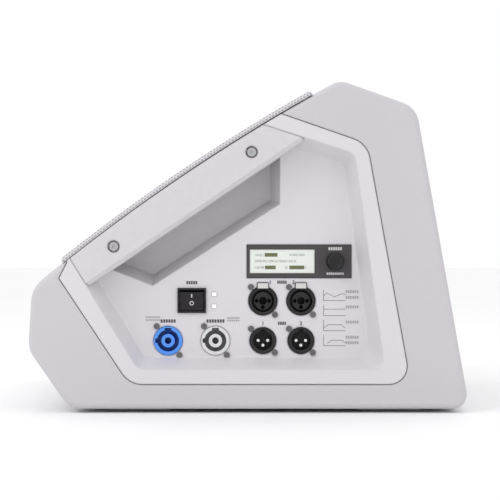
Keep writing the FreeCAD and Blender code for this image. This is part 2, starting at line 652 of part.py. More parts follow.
def makeHandleBar(label, hand):
    """A bar that fills the recess's front edge and bridges the grip pocket."""
    body = newBody(label, sidePlace() if hand > 0 else farSidePlace())
    sketch = newSketch(body)
    drawOutline(sketch, mirrored(grow(dishCorners(), -size("barPlay")), hand))
    pad(body, sketch, "Sizes.dishDepth - 0.05", inward=True, taper="-Sizes.dishTaper")
    roundEdges(body, "Sizes.dishFloorRound", levelAt(0.05 - size("dishDepth")))
    cut = newSketch(body)
    drawOutline(cut, mirrored(band(-260, 260, -size("barWidth"), -400), hand))
    pocket(body, cut)
    trim = newSketch(body)
    drawOutline(trim, mirrored(frontTrim(), hand))
    pocket(body, trim)
    roundEdges(body, "Sizes.barChamfer",
               lambda edge: abs(edge.BoundBox.ZMax) < 1e-6 and abs(edge.BoundBox.ZMin) < 1e-6
               and edge.Length > 100 and edge.CenterOfMass.dot(Vector(-hand * upSlope.z, upSlope.x, 0))
               < min(item.CenterOfMass.dot(Vector(-hand * upSlope.z, upSlope.x, 0))
                     for item in body.Tip.Shape.Edges if item.Length > 100) + 5, "Chamfer")
    for radius, deep in (("boltSink", "Sizes.boltSinkDepth"), ("boltHole", "Sizes.dishDepth + 1")):
        holes = newSketch(body)
        for x, z in (("boltHighX", "boltHighZ"), ("boltLowX", "boltLowZ")):
            drawCircle(holes, mirrored([(x, z)], hand)[0], radius)
        pocket(body, holes, deep)
    return body


def screwTemplate(name, head, headHigh, shank, long, cross=None, socket=None):
    """One fastener along its own axis, its head's top at zero and its point downward."""
    body = doc.addObject("PartDesign::Body", name)
    disc = newSketch(body)
    drawCircle(disc, (0.0, 0.0), head)
    pad(body, disc, "Sizes." + headHigh, inward=True)
    rod = newSketch(body, lift="-Sizes." + headHigh)
    drawCircle(rod, (0.0, 0.0), shank)
    pad(body, rod, "Sizes." + long + " - Sizes." + headHigh, inward=True)
    recess = newSketch(body)
    if cross:
        wide, reach = size("crossWide") / 2, size("crossLong") / 2
        drawOutline(recess, [
            (-wide, -reach), (wide, -reach), (wide, -wide), (reach, -wide), (reach, wide), (wide, wide),
            (wide, reach), (-wide, reach), (-wide, wide), (-reach, wide), (-reach, -wide), (-wide, -wide)])
    else:
        turns = [math.radians(60 * turn) for turn in range(6)]
        reach = size(socket)
        drawOutline(recess, [(reach * math.cos(turn), reach * math.sin(turn)) for turn in turns])
    pocket(body, recess, "Sizes.crossDeep" if cross else "Sizes.boltHeadHigh - 1")
    return body


def makeBolts():
    template = screwTemplate("HandleBolt", "boltHead", "boltHeadHigh", "boltShank", "boltLong",
                             socket="boltSocket")
    sink = size("boltSinkDepth") - size("boltHeadHigh")
    places = []
    for x, z in (("boltHighX", "boltHighZ"), ("boltLowX", "boltLowZ")):
        places.append(sidePlace(size(x), size(z), sink))
        places.append(farSidePlace(size(x), size(z), sink))
    group("handle_bolts", (template, places))


def footPlaces():
    inner = half - size("footInset") - size("footWide") / 2
    return [(size(x), side * inner) for x in ("footFrontX", "footRearX") for side in (-1, 1)]


def makeFeet():
    """Four low pads with tapered ends, screwed on from below."""
    template = doc.addObject("PartDesign::Body", "FootPad")
    template.Placement = Placement(Vector(0, size("footWide") / 2, 0), upright)
    sketch = newSketch(template)
    reach, flat, high = size("footLong") / 2, size("footFlat") / 2, size("footHigh")
    drawOutline(sketch, [(-flat, 0.0), (flat, 0.0), (reach, high - 0.4), (-reach, high - 0.4)])
    pad(template, sketch, "Sizes.footWide")
    hole = newSketch(template, "XZ_Plane")
    drawCircle(hole, (0.0, size("footWide") / 2), "footScrewHead + 0.3")
    pocket(template, hole)
    pads = []
    for x, y in footPlaces():
        pads.append(Placement(Vector(x, y + size("footWide") / 2, 0), upright))
    group("runner_feet", (template, pads))
    screw = screwTemplate("FootScrew", "footScrewHead", "screwHeadHigh", "footScrew", "footScrewLong",
                          cross=True)
    down = Rotation(Vector(1, 0, 0), 180)
    heads = size("floorGap") - size("screwHeadHigh")
    group("foot_screws", (screw, [Placement(Vector(x, y, heads), down) for x, y in footPlaces()]))


def makePorts():
    for name, across in (("port_tube_left", -1), ("port_tube_right", 1)):
        inner, outer = size("portRadius"), size("portRadius") + size("portWall")
        front = size("baffleThick")
        place = driverPlace(size("portAlong"), across * size("portAcross"), -size("baffleDepth"))
        turned(name, place, [
            ("portRadius", "-portLong"), (outer, "-portLong"), (outer, front), (outer + 3, front),
            (outer + 3, front + 2), (inner + 2, front + 2), ("portRadius", front)])


def makePoleSocket():
    """A blind cup for a loudspeaker pole, opening on the plain side."""
    outer = size("poleRadius") + size("poleWall")
    proud = size("poleFlangeThick")
    place = farSidePlace(size("poleX"), size("poleZ"), size("dishDepth"))
    turned("pole_socket", place, [
        ("poleRadius", proud), ("poleRadius", "-poleLong"), (0.0, "-poleLong"),
        (0.0, -size("poleLong") - size("poleWall")), (outer, -size("poleLong") - size("poleWall")),
        (outer, 0.0), ("poleFlange", 0.0), ("poleFlange", "poleFlangeThick")])


def makeDampingPad():
    """Wadding on the inside of the rear wall."""
    low, high = size("padLow"), size("padHigh")
    lean = (size("rearFootX") - size("rearTopX")) / (size("rearTopZ") - size("floorGap"))
    inset = size("wall") * 1.05 + 0.5

    def wallX(z):
        return size("rearFootX") - (z - size("floorGap")) * lean - inset

    body = newBody("damping_pad", Placement(Vector(0, size("padSide"), 0), upright))
    sketch = newSketch(body)
    thick = size("padThick")
    drawOutline(sketch, [(wallX(low) - thick, low), (wallX(low), low), (wallX(high), high),
                         (wallX(high) - thick, high)])
    pad(body, sketch, "2 * Sizes.padSide")


# ---------------------------------------------------------------- coaxial driver

def coaxial(out=0.0):
    """The driver's own frame, with z = 0 on the baffle's front face."""
    return driverPlace(size("driverAlong"), 0, size("baffleThick") - size("baffleDepth") + out)


def makeBasket():
    flange, deep, sheetThick = size("basketFlange"), size("basketDeep"), size("basketSheet")
    rim, neck = size("baffleHole") - 1, size("basketNeck")
    body = turned("woofer_basket", coaxial(), [
        ("basketRadius", 0.0), ("basketRadius", "basketFlange"), (rim - 3, flange), (rim - 3, -4.0),
        (neck - sheetThick, sheetThick - deep), (size("magnetHole") - 6, sheetThick - deep),
        (size("magnetHole") - 6, -deep), (neck, -deep), (rim, -4.0), (rim, 0.0)])
    windows = newSketch(body, "XY_Plane", lift="-Sizes.basketDeep - 5")
    for spoke in range(6):
        middle = math.radians(60 * spoke + 30)
        spread = math.radians(21)
        corners = []
        for radius, angle in ((neck + 2, -spread), (rim - 5, -spread), (rim - 5, spread), (neck + 2, spread)):
            corners.append((radius * math.cos(middle + angle), radius * math.sin(middle + angle)))
        drawOutline(windows, corners)
    pocket(body, windows, "Sizes.basketDeep", outward=True)
    return body


def makeDriverRings():
    """The still rings of the driver, its rubber edge and its centring spider."""
    flange = size("basketFlange")
    skin = size("surroundSheet")
    low, inner, outer = flange + 0.1, size("surroundInner"), size("surroundOuter")
    top = low + size("surroundRoll")
    crest = (inner + size("baffleHole") - 4) / 2
    turned("woofer_surround", coaxial(), [
        (inner + 0.3, low), (inner + 1.5, low), (crest - 2.6, top - 2.4), (crest, top - skin),
        (crest + 2.6, top - 2.4), (crest + 4.6, low), (outer, low), (outer, low + skin),
        (crest + 5.4, low + skin), (crest + 3.2, top - 1.6), (crest, top), (crest - 3.2, top - 1.6),
        (inner + 1.1, low + skin), (inner + 0.3, low + skin)])
    gasket = flange + 0.1 + skin
    gasketTop, gasketInner = gasket + size("gasketThick"), outer - size("gasketWide") + 1
    turned("woofer_gasket", coaxial(), [
        (gasketInner, gasket), (outer, gasket), (outer, gasketTop), (gasketInner, gasketTop)])
    waves = 5
    start, reach = size("coilRadius") + size("coilWall") + 0.3, size("spiderOuter")
    level, wave = -size("spiderDepth"), 1.6
    below, above = [], []
    for step in range(2 * waves + 1):
        radius = start + (reach - start) * step / (2 * waves)
        height = level + (wave if step % 2 else 0)
        below.append((radius, height))
        above.append((radius, height + size("spiderSheet")))
    turned("woofer_spider", coaxial(), below + above[::-1])


def makeMovingCone():
    flange = size("basketFlange")
    edge, neck = size("surroundInner"), size("coilRadius") + size("coilWall") + 0.05
    deep, skin = size("coneDeep"), size("coneSheet")
    turned("woofer_cone", coaxial(), [
        (edge, flange), (edge, flange + skin), (edge - 1.4, flange + skin), (neck, flange + skin - deep),
        (neck, flange - deep - 0.4)])
    top = flange - deep + 3
    bottom, wall = top - size("coilLong"), size("coilRadius") + size("coilWall")
    turned("voice_coil", coaxial(), [
        ("coilRadius", top), (wall, top), (wall, bottom), ("coilRadius", bottom)])


def makeMotor():
    """Magnet system below the basket, with the tweeter's throat through its pole."""
    face = -size("basketDeep")
    magnet = face - size("topPlate")
    back = magnet - size("magnetHigh")
    rear = back - size("backPlate")
    gap = size("coilRadius") + size("coilWall") + size("gapPlay")
    turned("woofer_top_plate", coaxial(), [
        (gap, face), ("plateRadius", face), ("plateRadius", magnet), (gap, magnet)])
    turned("woofer_magnet", coaxial(), [
        ("magnetHole", magnet), ("magnetRadius", magnet), ("magnetRadius", back), ("magnetHole", back)])
    turned("woofer_back_plate", coaxial(), [
        ("throatRadius", face), ("poleCore", face), ("poleCore", back), ("plateRadius", back),
        ("plateRadius", rear), ("throatRadius", rear)])
    mouth, skin, rise = size("waveMouth"), size("waveSheet"), size("waveRise")
    turned("hf_waveguide", coaxial(), [
        ("throatRadius", face), (mouth - 2, face + rise * 1.6), (mouth, face + rise * 2.4),
        (mouth + skin, face + rise * 2.4), (mouth - 0.5, face + rise * 1.6),
        (size("throatRadius") + 2 * skin, face)])
    outer, thick, high = size("hfRadius"), size("hfSheet"), size("hfHigh")
    turned("hf_driver_cover", coaxial(), [
        (outer - thick, rear), (outer, rear), (outer, rear - high), (0.0, rear - high),
        (0.0, rear - high + thick), (outer - thick, rear - high + thick)])
    dome, sheetThick, rise = size("domeRadius"), size("domeSheet"), size("domeRise")
    crown = rear - 2.5
    turned("hf_diaphragm", coaxial(), [
        (0.0, crown), (dome * 0.6, crown - rise * 0.25), (dome, crown - rise * 0.8), (dome, crown - 2 * rise),
        (dome - 0.8, crown - 2 * rise), (dome - 0.8, crown - rise * 0.8 - sheetThick),
        (dome * 0.6, crown - rise * 0.25 - sheetThick), (0.0, crown - sheetThick)])
    cup = rear - high + thick
    turned("hf_motor", coaxial(), [
        (0.0, crown - rise), (dome - 2, crown - rise), (dome - 2, cup), (0.0, cup)])
    block = newBody("woofer_terminals", coaxial())
    sketch = newSketch(block, lift="-Sizes.basketDeep")
    drawRectangle(sketch, (0.0, -size("magnetRadius") - 6), 14, 11)
    pad(block, sketch, "Sizes.topPlate - 2", inward=True)


def makeDriverScrews():
    screw = screwTemplate("DriverScrew", "driverScrewHead", "screwHeadHigh", "footScrew", "driverScrewLong",
                          cross=True)
    places = []
    head = size("basketFlange") + size("screwHeadHigh")
    for turn in range(8):
        angle = math.radians(45 * turn + 22.5)
        ring = size("driverScrewRing")
        offset = Placement(Vector(ring * math.cos(angle), ring * math.sin(angle), head), Rotation())
        places.append(coaxial().multiply(offset))
    group("woofer_screws", (screw, places))


# ---------------------------------------------------------------- controls

def onFloor(x, z):
    """A frame on the control floor: z = 0 is its face and z points out."""
    return sidePlace(size(x), size(z), size("dishDepth"))


def slab(label, place, wide, tall, low, high, centre=(0.0, 0.0)):
    """A rectangular piece between two heights over the control floor."""
    body = newBody(label, place)
    sketch = newSketch(body, lift=low)
    drawRectangle(sketch, centre, wide, tall)
    pad(body, sketch, f"{high} - ({low})")
    return body


def makeDisplay():
    place = onFloor("bezelX", "bezelZ")
    bezel = slab("display_bezel", place, size("bezelWide"), size("bezelTall"),
                 "-Sizes.dishFloor", "Sizes.bezelProud")
    offset = size("windowX") - size("bezelX")
    window = newSketch(bezel, lift="Sizes.bezelProud")
    drawRectangle(window, (offset, 0.0), size("windowWide"), size("windowTall"))
    drawCircle(window, (size("knobX") - size("bezelX"), size("knobZ") - size("bezelZ")), "bushOuter + 0.2")
    pocket(bezel, window)
    slab("lcd_window", place, size("windowWide") - 0.1, size("windowTall") - 0.1,
         "-Sizes.windowThick", "0 * Sizes.wall", (offset, 0.0))
    slab("lcd_module", place, size("lcdWide"), size("lcdTall"),
         "-(Sizes.dishFloor + 0.2 + Sizes.lcdThick)", "-(Sizes.dishFloor + 0.2)", (offset, 0.0))


def makeEncoder():
    place = onFloor("knobX", "knobZ")
    body = slab("encoder_body", place, size("encoderSize"), size("encoderSize"),
                "-(Sizes.dishFloor + 2 + Sizes.encoderThick)", "-(Sizes.dishFloor + 0.5)")
    bush = newSketch(body, lift="-(Sizes.dishFloor + 1)")
    drawCircle(bush, (0.0, 0.0), "bushOuter")
    pad(body, bush, "Sizes.dishFloor + 1")
    bore = newSketch(body)
    drawCircle(bore, (0.0, 0.0), "bushRadius")
    pocket(body, bore)
    rear = size("dishFloor") + 2 + size("encoderThick")
    split = 2.0 - rear
    turned("encoder_plunger", place, [
        (0.0, split), ("shaftRadius", split), ("shaftRadius", -rear), (0.0, -rear)])
    tip = size("knobHigh") - 4
    turned("encoder_shaft", place, [
        (0.0, split + 0.05), ("shaftRadius", split + 0.05), ("shaftRadius", tip), (0.0, tip)])
    lift, high = size("knobLift"), size("knobHigh")
    turned("volume_knob", place, [
        (0.0, tip + 0.05), ("knobBore", tip + 0.05), ("knobBore", lift), ("knobSkirt", lift),
        ("knobSkirt", lift + 1.5), ("knobRadius", lift + 3), (size("knobRadius") - 0.5, high - 0.8),
        (size("knobRadius") - 1.3, high), (0.0, high)])


def makeRocker():
    place = onFloor("rockerX", "rockerZ")
    wide, tall, rim = size("rockerWide"), size("rockerTall"), size("rockerRim")
    frame = slab("rocker_frame", place, wide, tall, "0 * Sizes.wall", "Sizes.rockerFlange")
    back = newSketch(frame)
    drawRectangle(back, (0.0, 0.0), wide - size("rockerStep"), tall - size("rockerStep"))
    pad(frame, back, "Sizes.rockerBack", inward=True)
    well = newSketch(frame, lift="Sizes.rockerFlange")
    drawRectangle(well, (0.0, 0.0), wide - 2 * rim, tall - 2 * rim)
    pocket(frame, well, "Sizes.rockerBack")
    bearing = newSketch(frame, "YZ_Plane", lift="Sizes.rockerWide / 2 - Sizes.rockerStep / 2")
    drawCircle(bearing, (0.0, "-rockerPivot"), "rockerPin + Sizes.rockerPinPlay")
    pocket(frame, bearing, "Sizes.rockerWide - Sizes.rockerStep")
    pivot = Placement(Vector(0, 0, -size("rockerPivot")), Rotation(Vector(1, 0, 0), size("rockerTilt")))
    button = newBody("rocker_button", place.multiply(pivot))
    reach = tall / 2 - rim - 2 * size("rockerPlay")
    cap = size("rockerCap")
    long = wide - 2 * rim - 2 * size("rockerPlay")
    foot, dip = -size("rockerFoot"), cap - size("rockerDip")
    sketch = newSketch(button, "YZ_Plane", lift=f"-({long} / 2)")
    drawOutline(sketch, [(-reach, foot), (reach, foot), (reach, cap), (1.0, dip), (-1.0, dip), (-reach, cap)])
    pad(button, sketch, f"{long}")
    pins = newSketch(button, "YZ_Plane", lift=f"-({long} / 2 + Sizes.rockerPinLong)")
    drawCircle(pins, (0.0, 0.0), "rockerPin")
    pad(button, pins, f"{long} + 2 * Sizes.rockerPinLong")


def makeLights():
    template = doc.addObject("PartDesign::Body", "LightPipe")
    sketch = newSketch(template, lift="0.5 - Sizes.lightLong")
    drawRectangle(sketch, (0.0, 0.0), size("lightWide"), size("lightTall"))
    pad(template, sketch, "Sizes.lightLong")
    places = [onFloor("lightX", "lightHighZ"), onFloor("lightX", "lightLowZ")]
    group("status_light_pipes", (template, places))


# ---------------------------------------------------------------- connectors

def connectorShell(label, place, radius, back, backRadius):
    """A chassis socket: a plate behind the floor, a round front through it and a rear body."""
    body = newBody(label, place)
    plate = newSketch(body, lift="-(Sizes.dishFloor + Sizes.plateThick)")
    drawRectangle(plate, (0.0, 0.0), size("plateWide"), size("plateTall"))
    pad(body, plate, "Sizes.plateThick")
    front = newSketch(body, lift="-(Sizes.dishFloor + 1)")
    drawCircle(front, (0.0, 0.0), radius)
    pad(body, front, "Sizes.dishFloor + 1 + Sizes.socketProud")
    rear = newSketch(body, lift="-(Sizes.dishFloor + 1)")
    drawCircle(rear, (0.0, 0.0), backRadius)
    pad(body, rear, back, inward=True)
    return body


def makeCombo(channel, x):
    place = onFloor(x, "highRowZ")
    body = connectorShell(f"combo_jack_{channel}", place, "socketRadius", "Sizes.socketBack",
                          "socketRadius - 0.5")
    ring = newSketch(body, lift="Sizes.socketProud")
    drawCircle(ring, (0.0, 0.0), "comboFace")
    drawCircle(ring, (0.0, 0.0), "comboFace + 1.8")
    pocket(body, ring, "Sizes.thruThroatDepth")
    bore = newSketch(body, lift="Sizes.socketProud")
    drawCircle(bore, (0.0, 0.0), "jackRadius")
    for angle in (0, 180, 270):
        spot = (size("comboHoleRing") * math.cos(math.radians(angle)),
                size("comboHoleRing") * math.sin(math.radians(angle)))
        drawCircle(bore, spot, "comboHole")
    pocket(body, bore, "Sizes.jackDepth")
    slot = newSketch(body, lift="Sizes.socketProud")
    drawRectangle(slot, (0.0, size("latchRise")), size("latchWide") + 1.0, size("latchHigh") + 1.0)
    pocket(body, slot, "Sizes.latchThick + Sizes.latchTravel + 4")
    slab(f"combo_latch_{channel}", place, size("latchWide"), size("latchHigh"),
         "Sizes.latchProud - Sizes.latchThick - 1", "Sizes.latchProud", (0.0, size("latchRise")))


def makeThru(channel, x):
    body = connectorShell(f"thru_socket_{channel}", onFloor(x, "lowRowZ"), "thruRadius",
                          "Sizes.socketBack - 4", "thruRadius - 1")
    throat = newSketch(body, lift="Sizes.socketProud")
    drawCircle(throat, (0.0, 0.0), "thruThroat")
    pocket(body, throat, "Sizes.thruThroatDepth")
    key = newSketch(body, lift="Sizes.socketProud")
    drawRectangle(key, (0.0, size("thruThroat") - 0.2), size("keyNarrow"), 2 * size("keyDeep"))
    pocket(body, key, "Sizes.thruThroatDepth")


def makeMains(label, x):
    body = connectorShell(label, onFloor(x, "lowRowZ"), "socketRadius", "Sizes.socketBack",
                          "socketRadius - 1")
    ring = newSketch(body, lift="Sizes.socketProud")
    drawCircle(ring, (0.0, 0.0), "mainsThroat")
    drawCircle(ring, (0.0, 0.0), "mainsCore")
    pocket(body, ring, "Sizes.mainsThroatDepth")
    hole = newSketch(body, lift="Sizes.socketProud")
    drawCircle(hole, (0.0, 0.0), "mainsCoreHole")
    pocket(body, hole, "Sizes.mainsThroatDepth - 2")
    keys = newSketch(body, lift="Sizes.socketProud")
    throat = size("mainsThroat")
    drawRectangle(keys, (0.0, throat), size("keyWide"), 2 * size("keyDeep"))
    drawRectangle(keys, (-throat, 0.0), 2 * size("keyDeep"), size("keyNarrow"))
    pocket(body, keys, "Sizes.mainsThroatDepth")


def rod(name, radius, length):
    """A plain rod that runs inward from its own frame."""
    body = doc.addObject("PartDesign::Body", name)
    sketch = newSketch(body)
    drawCircle(sketch, (0.0, 0.0), radius)
    pad(body, sketch, length, inward=True)
    return body


def makeConnectorMetal():
    """Contacts and screws of all the sockets."""
    off = size("thruPinOff")
    pin = rod("ThruPin", "thruPin", "Sizes.pinLong")
    pins = []
    for x in ("firstInputX", "secondInputX"):
        for dx, dz in ((-off, 0), (off, 0), (0, -off)):
            pins.append(sidePlace(size(x) + dx, size("lowRowZ") + dz, size("dishDepth") + size("pinSunk")))
    group("thru_pins", (pin, pins))
    back = size("dishDepth") + size("dishFloor") + 1 + size("socketBack")
    tail = rod("ContactTail", "tailRadius", "Sizes.tailLong")
    tails = [sidePlace(size(x) + dx, size("highRowZ") - off, back)
             for x in ("firstInputX", "secondInputX") for dx in (-off, 0, off)]
    tab = rod("MainsTab", "tailRadius + 0.6", "Sizes.tailLong")
    tabs = [sidePlace(size(x) + dx, size("lowRowZ"), back)
            for x in ("mainsInX", "mainsOutX") for dx in (-off, 0, off)]
    group("socket_contacts", (tail, tails), (tab, tabs))
    screw = screwTemplate("SocketScrew", "screwHead", "screwHeadHigh", "screwShank", "screwLong",
                          cross=True)
    patterns = [("mainsInX", "lowRowZ", "screwAcross", "screwUp"),
                ("mainsOutX", "lowRowZ", "screwAcross", "screwUp"),
                ("firstInputX", "lowRowZ", "thruScrew", "thruScrew"),
                ("secondInputX", "lowRowZ", "thruScrew", "thruScrew"),
                ("firstInputX", "highRowZ", "comboScrewAcross", "comboScrewUp"),
                ("secondInputX", "highRowZ", "comboScrewAcross", "comboScrewUp")]
    places = []
    for x, z, across, up in patterns:
        for hand in (-1, 1):
            places.append(sidePlace(size(x) + hand * size(across), size(z) - hand * size(up),
                                    size("dishDepth") - size("screwHeadHigh")))
    group("connector_screws", (screw, places))


# ---------------------------------------------------------------- electronics

def makeBoards():
    block("dsp_board", ("Sizes.dspX", "Sizes.dspY", "Sizes.dspZ"),
          "Sizes.dspWide", "Sizes.boardThick", "Sizes.dspTall")
    boardY = "(Sizes.chassisY - Sizes.chassisThick / 2 - Sizes.standoffHigh - Sizes.boardThick / 2)"
    block("power_supply_board", ("Sizes.powerX", boardY, "Sizes.powerZ"),
          "Sizes.powerWide", "Sizes.boardThick", "Sizes.powerTall")
    block("amplifier_board", ("Sizes.ampX", boardY, "Sizes.ampZ"),
          "Sizes.ampWide", "Sizes.boardThick", "Sizes.ampTall")
    block("module_chassis", ("Sizes.chassisX", "Sizes.chassisY", "Sizes.chassisZ"),
          "Sizes.chassisWide", "Sizes.chassisThick", "Sizes.chassisTall")
    short = rod("ShortStandoff", "standoffRadius", "Sizes.standoffHigh")
    face = half + size("chassisY") - size("chassisThick") / 2 - size("standoffHigh")
    places = []
    for middle, wide, tall, z in (("powerX", "powerWide", "powerTall", "powerZ"),
                                  ("ampX", "ampWide", "ampTall", "ampZ")):
        for side in (-1, 1):
            for end in (-1, 1):
                places.append(sidePlace(size(middle) + side * (size(wide) / 2 - 5),
                                        size(z) + end * (size(tall) / 2 - 5), face))
    floorBack = size("dishDepth") + size("dishFloor")
    post = rod("ChassisPost", "standoffRadius", "Sizes.postLong")
    corners = [sidePlace(size(x), size(z), floorBack) for x, z in (
        ("postLeftX", "postFootZ"), ("postRightX", "postFootZ"),
        ("postRightX", "postRightTopZ"), ("postLeftX", "postLeftTopZ"))]
    group("board_standoffs", (short, places), (post, corners))


def makeHeatSink():
    base = size("chassisY") + size("chassisThick") / 2
    left = size("ampX") - size("sinkWide") / 2
    pitch = (size("sinkWide") - size("finThick")) / (size("finCount") - 1)
    top = base + size("sinkBase")
    outline = [(left, base), (left + size("sinkWide"), base)]
    for fin in reversed(range(int(size("finCount")))):
        start = left + fin * pitch
        outline += [(start + size("finThick"), top + size("finHigh")), (start, top + size("finHigh"))]
        if fin:
            outline += [(start, top), (start - pitch + size("finThick"), top)]
    body = newBody("heat_sink", Placement(Vector(0, 0, size("sinkZ") - size("sinkTall") / 2), Rotation()))
    sketch = newSketch(body)
    drawOutline(sketch, outline)
    pad(body, sketch, "Sizes.sinkTall")


def makeCable(label, route, radius):
    """A cable of straight runs joined by tangent arcs as large as the runs allow."""
    edges = []
    here = route[0]
    for before, corner, after in zip(route, route[1:], route[2:]):
        inward = (corner - before).normalize()
        outward = (after - corner).normalize()
        turn = inward.getAngle(outward)
        cut = 0.45 * min(corner.distanceToPoint(before), after.distanceToPoint(corner))
        bend = cut / math.tan(turn / 2)
        start, end = corner - inward * cut, corner + outward * cut
        pull = (outward - inward).normalize()
        middle = corner + pull * (bend / math.cos(turn / 2) - bend)
        edges += [Part.LineSegment(here, start).toShape(), Part.Arc(start, middle, end).toShape()]
        here = end
        print(f"{label}: bend radius {bend:.1f}")
    edges.append(Part.LineSegment(here, route[-1]).toShape())
    path = Part.Wire(edges)
    section = Part.Wire([Part.Circle(route[0], route[1] - route[0], size(radius)).toShape()])
    feature = doc.addObject("Part::Feature", label)
    feature.Label = label
    feature.Shape = path.makePipeShell([section], True, False)
    feature.Placement = Placement()
    exported.append(feature)
    expected = math.pi * size(radius) ** 2 * path.Length
    share = feature.Shape.Volume / expected
    print(f"{label}: {path.Length:.0f} mm long, volume {share:.3f} of section times length")


def makeCables():
    terminal = coaxial().multVec(Vector(0, -size("magnetRadius") - 11.5, -size("basketDeep") - 3))
    boardY = size("chassisY") - size("chassisThick") / 2 - size("standoffHigh") - size("boardThick") / 2
    boardFace = boardY - size("boardThick") / 2
    boardTop = size("ampZ") + size("ampTall") / 2
    makeCable("woofer_cable", [
        terminal, terminal + Vector(0, -14, 2), Vector(-12, -102, 129), Vector(-8, -105, 145),
        Vector(0, -110, 156),
        Vector(10, -117, 154), Vector(17, boardY, 141), Vector(18, boardY, boardTop)], "woofCableRadius")
    socketEnd = size("dishDepth") + size("dishFloor") + 1 + size("socketBack") + size("tailLong") - half
    makeCable("mains_cable", [
        Vector(size("mainsInX"), socketEnd + 0.75, size("lowRowZ")), Vector(-66, socketEnd + 6, 60),
        Vector(-62, socketEnd + 11, 68), Vector(-58, boardFace - 5, 78),
        Vector(-57.3, boardFace - 1.7, 80.7)], "mainsCableRadius")


# ---------------------------------------------------------------- checks and files

def checkAndWrite():
    for item in doc.Objects:
        if "Invalid" in item.State or "Error" in item.State:
            raise ValueError(f"{item.Label} did not recompute: {item.getStatusString()}")
    os.makedirs("parts", exist_ok=True)
    for item in exported:
        shape = item.Shape
        if shape.isNull() or not shape.isValid() or not shape.Solids:
            raise ValueError(f"{item.Label} has no valid solid")
        shape.exportStep(f"parts/{item.Label}.step")
        print(f"{item.Label}: {len(shape.Solids)} solid(s), {shape.Volume / 1000:.1f} cm3")


makeShell()
makeBaffle()
makeGrille()
makeGrilleFoam()
controlPanel = makeSidePanel("side_panel_control", 1)
cutControls(controlPanel)
plainPanel = makeSidePanel("side_panel_plain", -1)
cutPoleHole(plainPanel)
makeHandleBar("handle_bar_control", 1)
makeHandleBar("handle_bar_plain", -1)
makeBolts()
makeFeet()
makePorts()
makePoleSocket()
makeDampingPad()
makeBasket()
makeDriverRings()
makeMovingCone()
makeMotor()
makeDriverScrews()
makeDisplay()
makeEncoder()
makeRocker()
makeLights()
makeCombo(1, "firstInputX")
makeCombo(2, "secondInputX")
makeThru(1, "firstInputX")
makeThru(2, "secondInputX")
makeMains("power_in_socket", "mainsInX")
makeMains("power_out_socket", "mainsOutX")
makeConnectorMetal()
makeBoards()
makeHeatSink()
makeCables()
doc.recompute()
checkAndWrite()
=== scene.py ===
import bpy
import bmesh
import json
import math
import random
from mathutils import Vector, Matrix


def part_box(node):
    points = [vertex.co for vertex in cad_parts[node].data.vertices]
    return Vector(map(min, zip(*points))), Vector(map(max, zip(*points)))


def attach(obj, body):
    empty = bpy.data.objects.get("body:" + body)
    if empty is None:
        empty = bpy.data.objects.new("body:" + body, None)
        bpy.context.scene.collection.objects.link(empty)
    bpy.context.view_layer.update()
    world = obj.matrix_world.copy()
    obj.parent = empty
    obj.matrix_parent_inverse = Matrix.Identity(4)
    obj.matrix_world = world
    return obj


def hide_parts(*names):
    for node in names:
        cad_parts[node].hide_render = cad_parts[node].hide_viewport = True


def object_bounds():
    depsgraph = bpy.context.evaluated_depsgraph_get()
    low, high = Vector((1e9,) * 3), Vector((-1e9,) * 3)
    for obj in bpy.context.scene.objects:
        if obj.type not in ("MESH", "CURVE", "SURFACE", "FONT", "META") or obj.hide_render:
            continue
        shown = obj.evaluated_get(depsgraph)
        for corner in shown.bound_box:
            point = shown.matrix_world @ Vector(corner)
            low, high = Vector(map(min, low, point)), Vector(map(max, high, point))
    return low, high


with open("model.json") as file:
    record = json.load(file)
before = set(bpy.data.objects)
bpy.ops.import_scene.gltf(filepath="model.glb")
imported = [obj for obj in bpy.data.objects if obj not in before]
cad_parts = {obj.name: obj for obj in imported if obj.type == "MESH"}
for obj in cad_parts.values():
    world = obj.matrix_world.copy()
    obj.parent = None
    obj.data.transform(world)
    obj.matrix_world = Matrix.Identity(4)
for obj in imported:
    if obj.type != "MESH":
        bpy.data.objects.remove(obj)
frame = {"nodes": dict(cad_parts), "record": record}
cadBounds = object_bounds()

cabinetBody = "cabinet"
mm = 0.001


# shared shader pieces: each group puts out masks, heights and normals only

def newGroup(name, inputs, outputs):
    group = bpy.data.node_groups.new(name, "ShaderNodeTree")
    for label, kind, value in inputs:
        socket = group.interface.new_socket(label, in_out="INPUT", socket_type=kind)
        if value is not None:
            socket.default_value = value
    for label, kind in outputs:
        group.interface.new_socket(label, in_out="OUTPUT", socket_type=kind)
    entry = group.nodes.new("NodeGroupInput")
    leave = group.nodes.new("NodeGroupOutput")
    return group, entry, leave


def mathNode(nodes, links, operation, first, second=None, third=None):
    node = nodes.new("ShaderNodeMath")
    node.operation = operation
    for slot, value in enumerate((first, second, third)):
        if value is None:
            continue
        if isinstance(value, (int, float)):
            node.inputs[slot].default_value = value
        else:
            links.new(value, node.inputs[slot])
    return node.outputs[0]


def noiseNode(nodes, links, vector, scale, detail=3.0, roughness=0.5):
    node = nodes.new("ShaderNodeTexNoise")
    node.inputs["Detail"].default_value = detail
    node.inputs["Roughness"].default_value = roughness
    links.new(vector, node.inputs["Vector"])
    if isinstance(scale, (int, float)):
        node.inputs["Scale"].default_value = scale
    else:
        links.new(scale, node.inputs["Scale"])
    return node.outputs["Fac"]


def rangeNode(nodes, links, value, low, high, toLow, toHigh):
    node = nodes.new("ShaderNodeMapRange")
    links.new(value, node.inputs["Value"])
    node.inputs["From Min"].default_value = low
    node.inputs["From Max"].default_value = high
    node.inputs["To Min"].default_value = toLow
    node.inputs["To Max"].default_value = toHigh
    return node.outputs["Result"]


